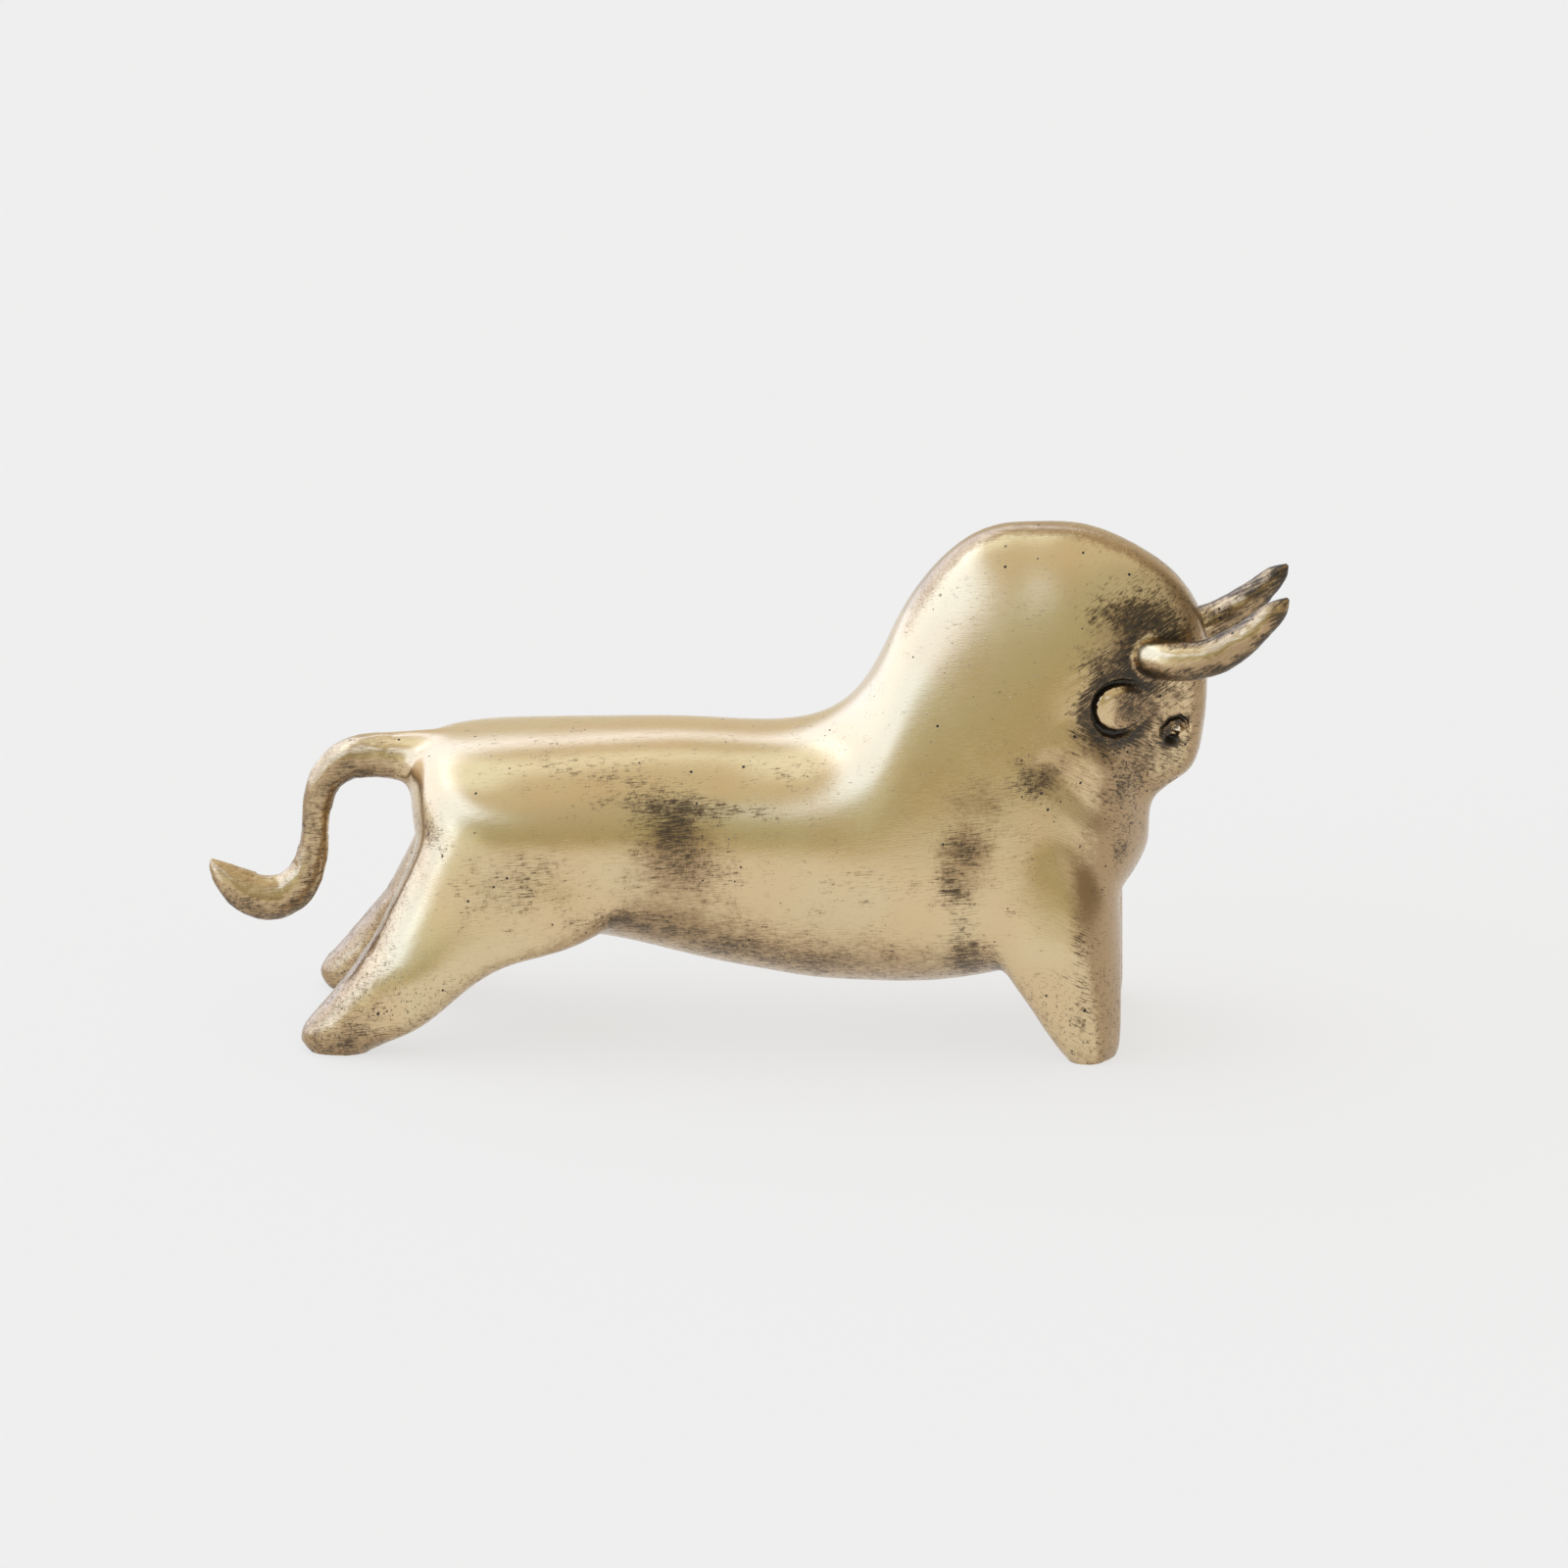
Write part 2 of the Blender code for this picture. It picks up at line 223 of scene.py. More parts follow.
def readMesh(mesh):
    # the mesh's points in millimetres and its faces as triangles
    mesh.calc_loop_triangles()
    points = np.zeros(len(mesh.vertices) * 3)
    mesh.vertices.foreach_get("co", points)
    triangles = np.zeros(len(mesh.loop_triangles) * 3, np.int32)
    mesh.loop_triangles.foreach_get("vertices", triangles)
    return points.reshape(-1, 3) / mm, triangles.reshape(-1, 3)


def closedLoft(rings):
    # rings of points carried one to the next by quads, with a flat face over each end
    number, around = rings.shape[:2]
    i = np.arange(number - 1)[:, None] * around
    j = np.arange(around)[None, :]
    k = (j + 1) % around
    quads = np.stack([i + j, i + k, i + around + k, i + around + j], axis=2).reshape(-1, 4).tolist()
    ends = [list(range(around - 1, -1, -1)), list(range((number - 1) * around, number * around))]
    return rings.reshape(-1, 3), quads + ends


def loftObject(name, lofts):
    # several closed lofts in one mesh object, every loft with its faces outwards
    shape = bmesh.new()
    for points, faces in lofts:
        mesh = bpy.data.meshes.new(name)
        mesh.from_pydata((points * mm).tolist(), [], faces)
        shape.from_mesh(mesh)
        bpy.data.meshes.remove(mesh)
    bmesh.ops.recalc_face_normals(shape, faces=shape.faces)
    mesh = bpy.data.meshes.new(name)
    shape.to_mesh(mesh)
    shape.free()
    made = bpy.data.objects.new(name, mesh)
    bpy.context.scene.collection.objects.link(made)
    return made


def bakedMesh(source):
    # the object's mesh with its modifiers worked in
    depsgraph = bpy.context.evaluated_depsgraph_get()
    return bpy.data.meshes.new_from_object(source.evaluated_get(depsgraph))


# The casting's main form

casting = {
    "grid": 1.5,                # spacing of the mesh that runs the lofts together
    "meltPasses": 20,           # smoothing after it
    "crestRise": 1.6,           # how far a slice would rise before the crest is flattened
    "crestFrom": 30,            # the flat crest fades in over this x
    "crestTo": 55,
    "crestSoftness": 0.35,
    "frontLean": 9.0,           # how far the front leg's outer front edge stands behind its inner one
    # x, top, bottom, height of the widest line, half width, upper power, lower power
    "body": [
        (-99.2, 77.5, 66.0, 72.0, 7.0, 2.0, 2.0),
        (-98.0, 82.6, 57.0, 70.0, 16.0, 2.1, 2.0),
        (-94.8, 86.4, 49.0, 67.0, 25.8, 2.2, 2.0),
        (-89.4, 88.6, 40.8, 63.0, 34.2, 2.2, 2.0),
        (-80.0, 89.8, 34.5, 59.0, 39.4, 2.3, 2.0),
        (-62.0, 90.9, 31.0, 57.0, 40.2, 2.3, 2.0),
        (-38.0, 92.0, 28.0, 56.0, 37.6, 2.3, 2.0),
        (-15.0, 92.3, 22.1, 55.0, 36.0, 2.3, 2.0),
        (8.0, 91.6, 17.6, 54.0, 37.0, 2.3, 2.0),
        (20.0, 93.8, 15.8, 54.5, 38.0, 2.2, 2.0),
        (30.0, 100.2, 15.3, 54.5, 39.0, 2.0, 2.0),
        (38.0, 111.7, 15.2, 52.5, 39.8, 1.9, 2.0),
        (46.0, 128.4, 15.3, 49.0, 40.2, 1.8, 2.0),
        (56.0, 142.1, 16.0, 46.5, 40.4, 1.7, 2.0),
        (68.0, 151.5, 18.0, 44.0, 40.2, 1.7, 2.0),
        (80.0, 154.3, 21.5, 43.0, 39.6, 1.7, 2.0),
        (92.0, 152.1, 27.5, 42.0, 37.2, 1.65, 2.1),
        (101.0, 138.9, 34.5, 48.0, 33.4, 1.75, 2.1),
        (108.0, 117.9, 42.0, 58.0, 27.5, 1.9, 2.1),
        (114.0, 94.9, 48.5, 63.0, 18.5, 2.0, 2.1),
        (118.6, 77.9, 57.0, 66.0, 8.0, 2.0, 2.0),
    ],
    "head": [
        (80.0, 153.8, 62.0, 72.0, 33.5, 1.7, 2.0),
        (88.0, 154.3, 64.0, 80.0, 31.2, 1.8, 2.0),
        (98.0, 153.6, 67.0, 88.0, 28.0, 1.9, 2.1),
        (106.0, 151.2, 69.0, 96.0, 24.3, 1.95, 2.2),
        (113.0, 147.8, 70.5, 103.0, 19.6, 2.1, 2.4),
        (120.0, 143.3, 72.0, 105.0, 15.8, 2.5, 2.6),
        (126.0, 138.2, 76.6, 106.0, 13.8, 2.7, 2.8),
        (130.6, 132.2, 79.4, 106.5, 12.4, 2.8, 2.8),
        (133.5, 126.0, 86.6, 107.0, 10.4, 2.8, 2.6),
        (135.4, 118.0, 100.0, 109.0, 7.0, 2.4, 2.4),
    ],
    # z, rear, front, inner and outer face
    "frontLeg": [
        (-4.0, 98.0, 112.2, 25.0, 37.2),
        (0.0, 95.0, 113.6, 23.0, 39.6),
        (3.5, 92.2, 114.4, 21.8, 41.0),
        (8.0, 89.0, 114.6, 21.0, 41.8),
        (17.0, 83.2, 114.6, 18.5, 42.4),
        (26.0, 77.0, 114.6, 14.5, 42.6),
        (38.0, 72.4, 114.4, 8.5, 42.2),
        (50.0, 70.0, 113.0, 5.0, 40.4),
        (62.0, 69.5, 106.6, 4.0, 37.6),
        (74.0, 72.0, 98.0, 6.0, 33.0),
    ],
    "rearLeg": [
        (-4.0, -123.4, -113.0, 27.0, 37.0),
        (0.0, -128.0, -109.8, 24.5, 39.2),
        (5.0, -130.8, -98.4, 22.1, 41.8),
        (11.4, -125.8, -89.0, 20.0, 43.4),
        (20.0, -118.4, -79.4, 16.5, 43.8),
        (27.0, -113.2, -67.2, 11.5, 43.2),
        (34.0, -108.4, -44.0, 6.5, 42.3),
        (46.0, -102.6, -33.0, 3.5, 41.3),
        (58.0, -97.2, -43.0, 3.0, 40.0),
        (70.0, -93.0, -56.0, 4.0, 35.5),
    ],
    # x, z, half thickness, half width
    "tail": [
        (-84.0, 80.2, 8.8, 9.8),
        (-98.0, 80.7, 8.0, 8.8),
        (-107.5, 81.1, 7.1, 7.5),
        (-115.6, 80.5, 6.6, 6.7),
        (-121.8, 77.5, 5.9, 6.1),
        (-126.2, 71.2, 5.1, 5.4),
        (-127.9, 62.0, 4.6, 4.9),
        (-128.6, 53.2, 4.8, 4.9),
        (-130.6, 45.2, 5.5, 5.3),
        (-135.4, 38.5, 6.5, 5.8),
        (-142.2, 36.3, 7.1, 6.2),
        (-149.2, 38.5, 6.8, 6.1),
        (-154.8, 42.6, 5.2, 4.9),
        (-158.8, 47.2, 2.7, 2.8),
        (-160.8, 49.8, 0.8, 0.8),
    ],
}


def sliceRings(rows, around):
    # each row is an upright slice, superelliptic above and below its widest line, its crest softly flattened
    x, top, bottom, widest, halfWidth, upper, lower = rows.T[:, :, None]
    angle = np.linspace(0, 2 * np.pi, around, endpoint=False)[None, :]
    c, s = np.cos(angle), np.sin(angle)
    power = np.where(c > 0, 2 / upper, 2 / lower)
    grown = (x - casting["crestFrom"]) / (casting["crestTo"] - casting["crestFrom"])
    rise = casting["crestRise"] * np.clip(grown, 0, 1)
    height = np.where(c > 0, top + rise - widest, widest - bottom)
    z = widest + height * signedPower(c, power)
    soft = casting["crestSoftness"]
    z = np.where(rise > 0, top - soft * np.logaddexp(0, (top - z) / soft), z)
    y = halfWidth * signedPower(s, power)
    return np.stack([x + 0 * y, y, z], axis=2)


def levelRings(rows, side, around, lean):
    # each row is a level slice of a leg, a superellipse whose front is sheared back towards its outer face
    z, rear, front, inner, outer = rows.T[:, :, None]
    angle = np.linspace(0, 2 * np.pi, around, endpoint=False)[None, :]
    c = signedPower(np.cos(angle), 2 / 2.7)
    s = signedPower(np.sin(angle), 2 / 2.7)
    x = (rear + front) / 2 + (front - rear) / 2 * c - lean * np.maximum(c, 0) * (1 + s) / 2
    y = side * ((inner + outer) / 2 + (outer - inner) / 2 * s)
    return np.stack([x, y, z + 0 * x], axis=2)


def sweptRings(path, thickness, width, around, power):
    # superelliptic rings square to a path, the thickness measured in its upright plane
    along = np.gradient(path, axis=0)
    along /= np.linalg.norm(along, axis=1)[:, None]
    across = np.cross(along, (0, 1, 0))
    across /= np.linalg.norm(across, axis=1)[:, None]
    sideways = np.cross(along, across)
    angle = np.linspace(0, 2 * np.pi, around, endpoint=False)
    c = signedPower(np.cos(angle), 2 / power)[None, :, None]
    s = signedPower(np.sin(angle), 2 / power)[None, :, None]
    return (
        path[:, None] + across[:, None] * thickness[:, None, None] * c
        + sideways[:, None] * width[:, None, None] * s
    )


def meltedSkin():
    # barrel, head, legs and tail as closed lofts, run together on an even grid and smoothed
    tail = naturalSpline(casting["tail"], 70)
    tailPath = np.column_stack([tail[:, 0], np.zeros(len(tail)), tail[:, 1]])
    lofts = [
        closedLoft(sliceRings(naturalSpline(casting["body"], 110), 72)),
        closedLoft(sliceRings(naturalSpline(casting["head"], 40), 56)),
        closedLoft(sweptRings(tailPath, tail[:, 2], tail[:, 3], 28, 2.3)),
    ]
    for side in (-1, 1):
        frontRows = naturalSpline(casting["frontLeg"], 40)
        rearRows = naturalSpline(casting["rearLeg"], 40)
        lofts.append(closedLoft(levelRings(frontRows, side, 48, casting["frontLean"])))
        lofts.append(closedLoft(levelRings(rearRows, side, 48, 0.0)))
    source = loftObject("lofts", lofts)
    melt = source.modifiers.new("melt", "REMESH")
    melt.mode = "VOXEL"
    melt.voxel_size = casting["grid"] * mm
    mesh = bakedMesh(source)
    bpy.data.objects.remove(source)
    points = np.zeros(len(mesh.vertices) * 3)
    mesh.vertices.foreach_get("co", points)
    corners = np.zeros(len(mesh.loops), np.int64)
    mesh.loops.foreach_get("vertex_index", corners)
    faces = np.full((len(mesh.polygons), 8), -1)
    faces[:, :4] = corners.reshape(-1, 4)
    bpy.data.meshes.remove(mesh)
    points = points.reshape(-1, 3) / mm
    return relaxed(points, faceEdges(faces), casting["meltPasses"]), faces


points, faces = meltedSkin()
print("skin melted:", len(points), "points")


# Finer mesh where the small forms are

fineZones = {
    # each zone: lowest and highest x, lowest and highest z, lowest distance from the middle plane
    "head": (93, 137, 72, 139, 3),
    "tail": (-162, -99, 28, 92, 0),
    "ear": (100.5, 117.5, 93.8, 113.5, 8),
    "eye": (119.5, 132.5, 88.5, 102, 6),
    "eyeBead": (122.4, 130.2, 90.6, 99.8, 6),
}


def inZone(points, name):
    # inside the zone's window, on either side
    x0, x1, z0, z1, y0 = fineZones[name]
    x, y, z = np.abs(points[:, 0] - (x0 + x1) / 2), np.abs(points[:, 1]), points[:, 2]
    return (x < (x1 - x0) / 2) & (z > z0) & (z < z1) & (y > y0)


def refineZones(points, faces, names, passes):
    # splits the quads of these zones once, then rounds the new points between the old ones
    held = len(points)
    middle = points[faces[:, :4]].mean(1)
    chosen = np.zeros(len(faces), bool)
    for name in names:
        chosen |= inZone(middle, name)
    points, faces = refined(points, faces, chosen)
    share = np.where(np.arange(len(points)) < held, 0.25, 0.5)
    touched = relaxed((np.arange(len(points)) >= held).astype(float), faceEdges(faces), 2) > 0.05
    return relaxed(points, faceEdges(faces), passes, share * touched), faces


points, faces = refineZones(points, faces, ["head", "tail"], 4)
points, faces = refineZones(points, faces, ["ear", "eye"], 4)
points, faces = refineZones(points, faces, ["eyeBead"], 3)
print("skin refined:", len(points), "points,", len(fanTriangles(faces)), "triangles")


# Relief of the skin

ear = {
    # x and z of the groove's line, its depth and half width
    "groove": [
        (115.2, 110.6, 0.4, 0.7), (113.0, 111.0, 1.3, 0.95), (110.6, 111.5, 2.0, 1.05),
        (107.8, 111.3, 2.4, 1.05), (105.2, 110.2, 2.6, 1.0), (103.3, 108.3, 2.7, 1.0),
        (102.3, 105.8, 2.7, 0.95), (102.4, 102.9, 2.6, 0.95), (103.5, 99.9, 2.4, 1.0),
        (105.8, 97.4, 2.1, 1.15), (109.0, 96.0, 1.7, 1.2), (112.0, 96.4, 1.2, 1.1),
        (114.4, 98.2, 0.4, 0.8),
    ],
    "centre": (110.6, 103.6),
    "halfSize": (8.0, 6.9),
    "rise": 1.5,                # how far the lobe's rear edge stands up
    "bevelFrom": 103.2,         # the rear bevel rises over this x
    "bevelTo": 107.4,
    "fadeTo": 121.0,            # and the lobe has run into the cheek here
}
eye = {
    "socket": (125.9, 94.6, 3.6, 3.4, 0.9),     # x, z, half length, half height, depth
    "pit": (125.3, 92.2, 2.6, 1.7, 2.1),
    "bead": (127.0, 95.4, 2.1, 2.1, 1.7),
    "lid": [(121.9, 93.4, 0.4, 0.55), (122.2, 96.0, 1.2, 0.65), (124.4, 98.5, 1.5, 0.7),
            (127.4, 99.3, 1.4, 0.7), (129.4, 97.6, 1.0, 0.6), (129.9, 94.8, 0.5, 0.5)],
}
mouth = {"line": [(124.6, -9.0, 77.4), (126.0, -6.0, 77.9), (126.6, 0.0, 78.0), (126.0, 6.0, 77.9),
                  (124.6, 9.0, 77.4)],
         "halfWidth": 1.2, "depth": 1.5}
jaw = {
    # x and z of the ridge below the ear and of the hollow behind it
    "ridge": [(92.0, 99.0), (103.0, 89.5), (115.0, 80.5)],
    "hollow": [(86.0, 92.0), (97.0, 80.5), (108.0, 70.0)],
    "halfWidth": 6.5,
    "rise": 0.55,
    "sink": 0.6,
}
handwork = {
    "swell": 0.16,              # broad unevenness of the filed skin
    "swellSize": 34.0,
    "ripple": 0.035,
    "rippleSize": 11.0,
    "tailFacet": 5.5,           # spacing of the filed facets
    "tailFlat": 0.35,           # and how flat they are
    "tailRough": 0.07,
    "cheekRough": 0.10,
    "chisel": 0.16,             # depth of the tool marks round the ear and over the horn
}


def grooveDepth(flat, line):
    # depth and half width run along the line; the channel is flat-bottomed with eased walls
    line = np.array(line, float)
    gap, share = alongPath(flat, line[:, :2])
    at = lengthShares(line[:, :2])
    depth = np.interp(share, at, line[:, 2])
    half = np.interp(share, at, line[:, 3])
    return depth * (1 - smoothStep(gap / half, 0.45, 1.15))


def ovalBowl(flat, oval, sharpness=1.0):
    # 1 at the middle of an oval and 0 at its edge
    x, z, length, height = oval[:4]
    r = np.hypot((flat[:, 0] - x) / length, (flat[:, 1] - z) / height)
    return (1 - smoothStep(r, 0.0, 1.0)) ** sharpness


def earOval(x, z):
    # 0 at the middle of the ear and 1 at the edge of its oval
    centre, half = ear["centre"], ear["halfSize"]
    return np.hypot((x - centre[0]) / half[0], (z - centre[1]) / half[1])


def headRelief(points):
    # ear groove, raised ear lobe, eye socket, pit, bead and lid line, as one height over the cheek
    flat = points[:, [0, 2]]
    height = -grooveDepth(flat, ear["groove"])
    x, z = flat.T
    bevel = smoothStep(x, ear["bevelFrom"], ear["bevelTo"])
    fade = 1 - smoothStep(x, ear["bevelTo"], ear["fadeTo"])
    height += ear["rise"] * bevel * fade * (1 - smoothStep(earOval(x, z), 0.72, 1.0))
    height -= eye["socket"][4] * ovalBowl(flat, eye["socket"])
    height -= eye["pit"][4] * ovalBowl(flat, eye["pit"], 0.7)
    beadX, beadZ, beadLength, beadHeight, beadRise = eye["bead"]
    diamond = np.abs(x - beadX) / beadLength + np.abs(z - beadZ) / beadHeight
    height += (beadRise + eye["socket"][4]) * np.clip(1 - diamond, 0, 1) ** 0.8
    height -= grooveDepth(flat, eye["lid"])
    return height


def jawFold(points):
    # a rounded ridge along one line and a hollow along the other, both fading out at their ends
    height = np.zeros(len(points))
    for name, amount in (("ridge", jaw["rise"]), ("hollow", -jaw["sink"])):
        gap, share = alongPath(points[:, [0, 2]], np.array(jaw[name]))
        ends = np.sin(np.pi * np.clip(share, 0, 1)) ** 0.5
        across = 1 - smoothStep(gap / jaw["halfWidth"], 0.0, 1.0)
        height += amount * ends * across * (np.abs(points[:, 1]) > 8)
    return height


def chiselMarks(points, angle, spacing, seed):
    # long shallow strokes at an angle in the side view: noise stretched along the stroke
    c, s = math.cos(math.radians(angle)), math.sin(math.radians(angle))
    along = points[:, 0] * c + points[:, 2] * s
    across = points[:, 2] * c - points[:, 0] * s
    turned = np.column_stack([along / 7, across / spacing, points[:, 1] / 9])
    return valueNoise(turned, 1.0, seed)


def bump(points, place, size):
    # a Gaussian hill of the given half lengths round a place
    return np.exp(-(((points - place) / size) ** 2).sum(1))


def filedFacets(points, normals, chosen, spacing, seed):
    # pulls the chosen points towards the tangent plane of the nearest of scattered seeds
    index = np.flatnonzero(chosen)
    order = np.random.default_rng(seed).permutation(index)
    seeds = order[:1]
    for candidate in order[1:1500]:
        if np.linalg.norm(points[seeds] - points[candidate], axis=1).min() > spacing:
            seeds = np.append(seeds, candidate)
    gap = np.linalg.norm(points[index][:, None] - points[seeds], axis=2)
    nearest = seeds[gap.argmin(1)]
    drop = ((points[index] - points[nearest]) * normals[nearest]).sum(1)
    offset = np.zeros(len(points))
    offset[index] = -np.clip(drop, -0.6, 0.6)
    return offset


def skinRelief(points, faces):
    # all the relief as one height along the skin's normal, and how deep each cut place lies
    triangles = fanTriangles(faces)
    edges = faceEdges(faces)
    normals = relaxed(pointNormals(points, triangles), edges, 3)
    normals /= np.linalg.norm(normals, axis=1)[:, None]
    height = handwork["swell"] * valueNoise(points, handwork["swellSize"], 3)
    height += handwork["ripple"] * valueNoise(points, handwork["rippleSize"], 5)
    height += jawFold(points)
    rising, sloped = chiselMarks(points, 28, 0.95, 11), chiselMarks(points, -27, 0.8, 13)
    strokes = np.where(points[:, 2] > 96, rising, sloped)
    cut = np.zeros(len(points))
    for side in (-1, 1):
        near = inZone(points, "head") & (points[:, 1] * side > 0)
        carved = headRelief(points[near])
        height[near] += carved
        cut[near] = np.maximum(cut[near], np.clip(-carved, 0, None))
        marked = np.clip(
            bump(points, (104, side * 25, 114), (9, 9, 6)) + bump(points, (118, side * 14, 129), (12, 9, 9))
            + 0.7 * bump(points, (112, side * 18, 88), (12, 12, 8)), 0, 1)
        height += handwork["chisel"] * marked * np.minimum(strokes, 0.15) * inZone(points, "head")
    head = inZone(points, "head")
    gap, _ = alongPath(points[head], np.array(mouth["line"]))
    slit = mouth["depth"] * (1 - smoothStep(gap / mouth["halfWidth"], 0.3, 1.0))
    height[head] -= slit
    cut[head] += slit
    tail = smoothStep(-points[:, 0], 100, 108)
    facets = filedFacets(points, normals, tail > 0.01, handwork["tailFacet"], 7)
    height += tail * handwork["tailFlat"] * facets
    height += tail * handwork["tailRough"] * valueNoise(points, 2.6, 17)
    cheek = bump(points * (1, 0, 1), (117, 0, 96), (13, 1, 14))
    height += cheek * handwork["cheekRough"] * valueNoise(points, 2.2, 19)
    return points + normals * height[:, None], cut


points, cutDepth = skinRelief(points, faces)
skinMesh = newMesh("bull", points, faces)
depthLayer = skinMesh.attributes.new("cutDepth", "FLOAT", "POINT")
depthLayer.data.foreach_set("value", cutDepth.astype(np.float32))
bull = bpy.data.objects.new("brassBull", skinMesh)
bpy.context.scene.collection.objects.link(bull)
print("relief carved")


# Horns, joined on with a crisp root

horns = {
    # x, distance from the middle, z, radius
    "path": [
        (113.0, 7.0, 117.5, 5.4),
        (117.5, 13.0, 117.6, 6.0),
        (123.5, 17.6, 117.6, 6.0),
        (131.5, 19.8, 118.0, 5.7),
        (139.0, 20.4, 120.4, 5.4),
        (146.0, 20.2, 125.0, 4.8),
        (152.2, 19.8, 130.5, 3.9),
        (156.8, 19.5, 135.1, 2.2),
        (158.4, 19.4, 137.0, 0.5),
    ],
    "rings": 84,
    "around": 46,
    "facet": 0.35,
    "dent": 0.12,
}


def hornLoft(side):
    # round rings along the horn's spline, pulled towards filed facets and dented a little
    rows = naturalSpline(horns["path"], horns["rings"])
    path = np.column_stack([rows[:, 0], side * rows[:, 1], rows[:, 2]])
    rings = sweptRings(path, rows[:, 3], rows[:, 3], horns["around"], 2.1)
    out = rings - path[:, None]
    size = np.linalg.norm(out, axis=2, keepdims=True)
    flat = rings.reshape(-1, 3)
    wave = horns["facet"] * valueNoise(flat * (0.35, 1, 1), 4.2, 23)
    wave += horns["dent"] * valueNoise(flat, 1.7, 29)
    rings = rings + out / size * (wave.reshape(rings.shape[:2])[..., None] * np.minimum(size / 4, 1))
    return closedLoft(rings)


def joinHorns(target):
    # cuts the horns and the skin into one closed surface, then cuts the soles flat at the floor
    helper = loftObject("hornPair", [hornLoft(-1), hornLoft(1)])
    union = target.modifiers.new("horns", "BOOLEAN")
    union.operation = "UNION"
    union.object = helper
    mesh = bakedMesh(target)
    target.modifiers.clear()
    target.data = mesh
    bpy.data.objects.remove(helper)
    shape = bmesh.new()
    shape.from_mesh(mesh)
    everything = list(shape.verts) + list(shape.edges) + list(shape.faces)
    cut = bmesh.ops.bisect_plane(shape, geom=everything, dist=1e-7, plane_co=(0, 0, 0),
                                 plane_no=(0, 0, -1), clear_outer=True)
    rim = [item for item in cut["geom_cut"] if isinstance(item, bmesh.types.BMEdge)]
    bmesh.ops.edgeloop_fill(shape, edges=rim)
    bmesh.ops.triangulate(shape, faces=[f for f in shape.faces if len(f.verts) > 4])
    shape.to_mesh(mesh)
    shape.free()
    mesh.update()


joinHorns(bull)
print("horns joined, soles cut:", sum(len(p.vertices) - 2 for p in bull.data.polygons), "triangles")
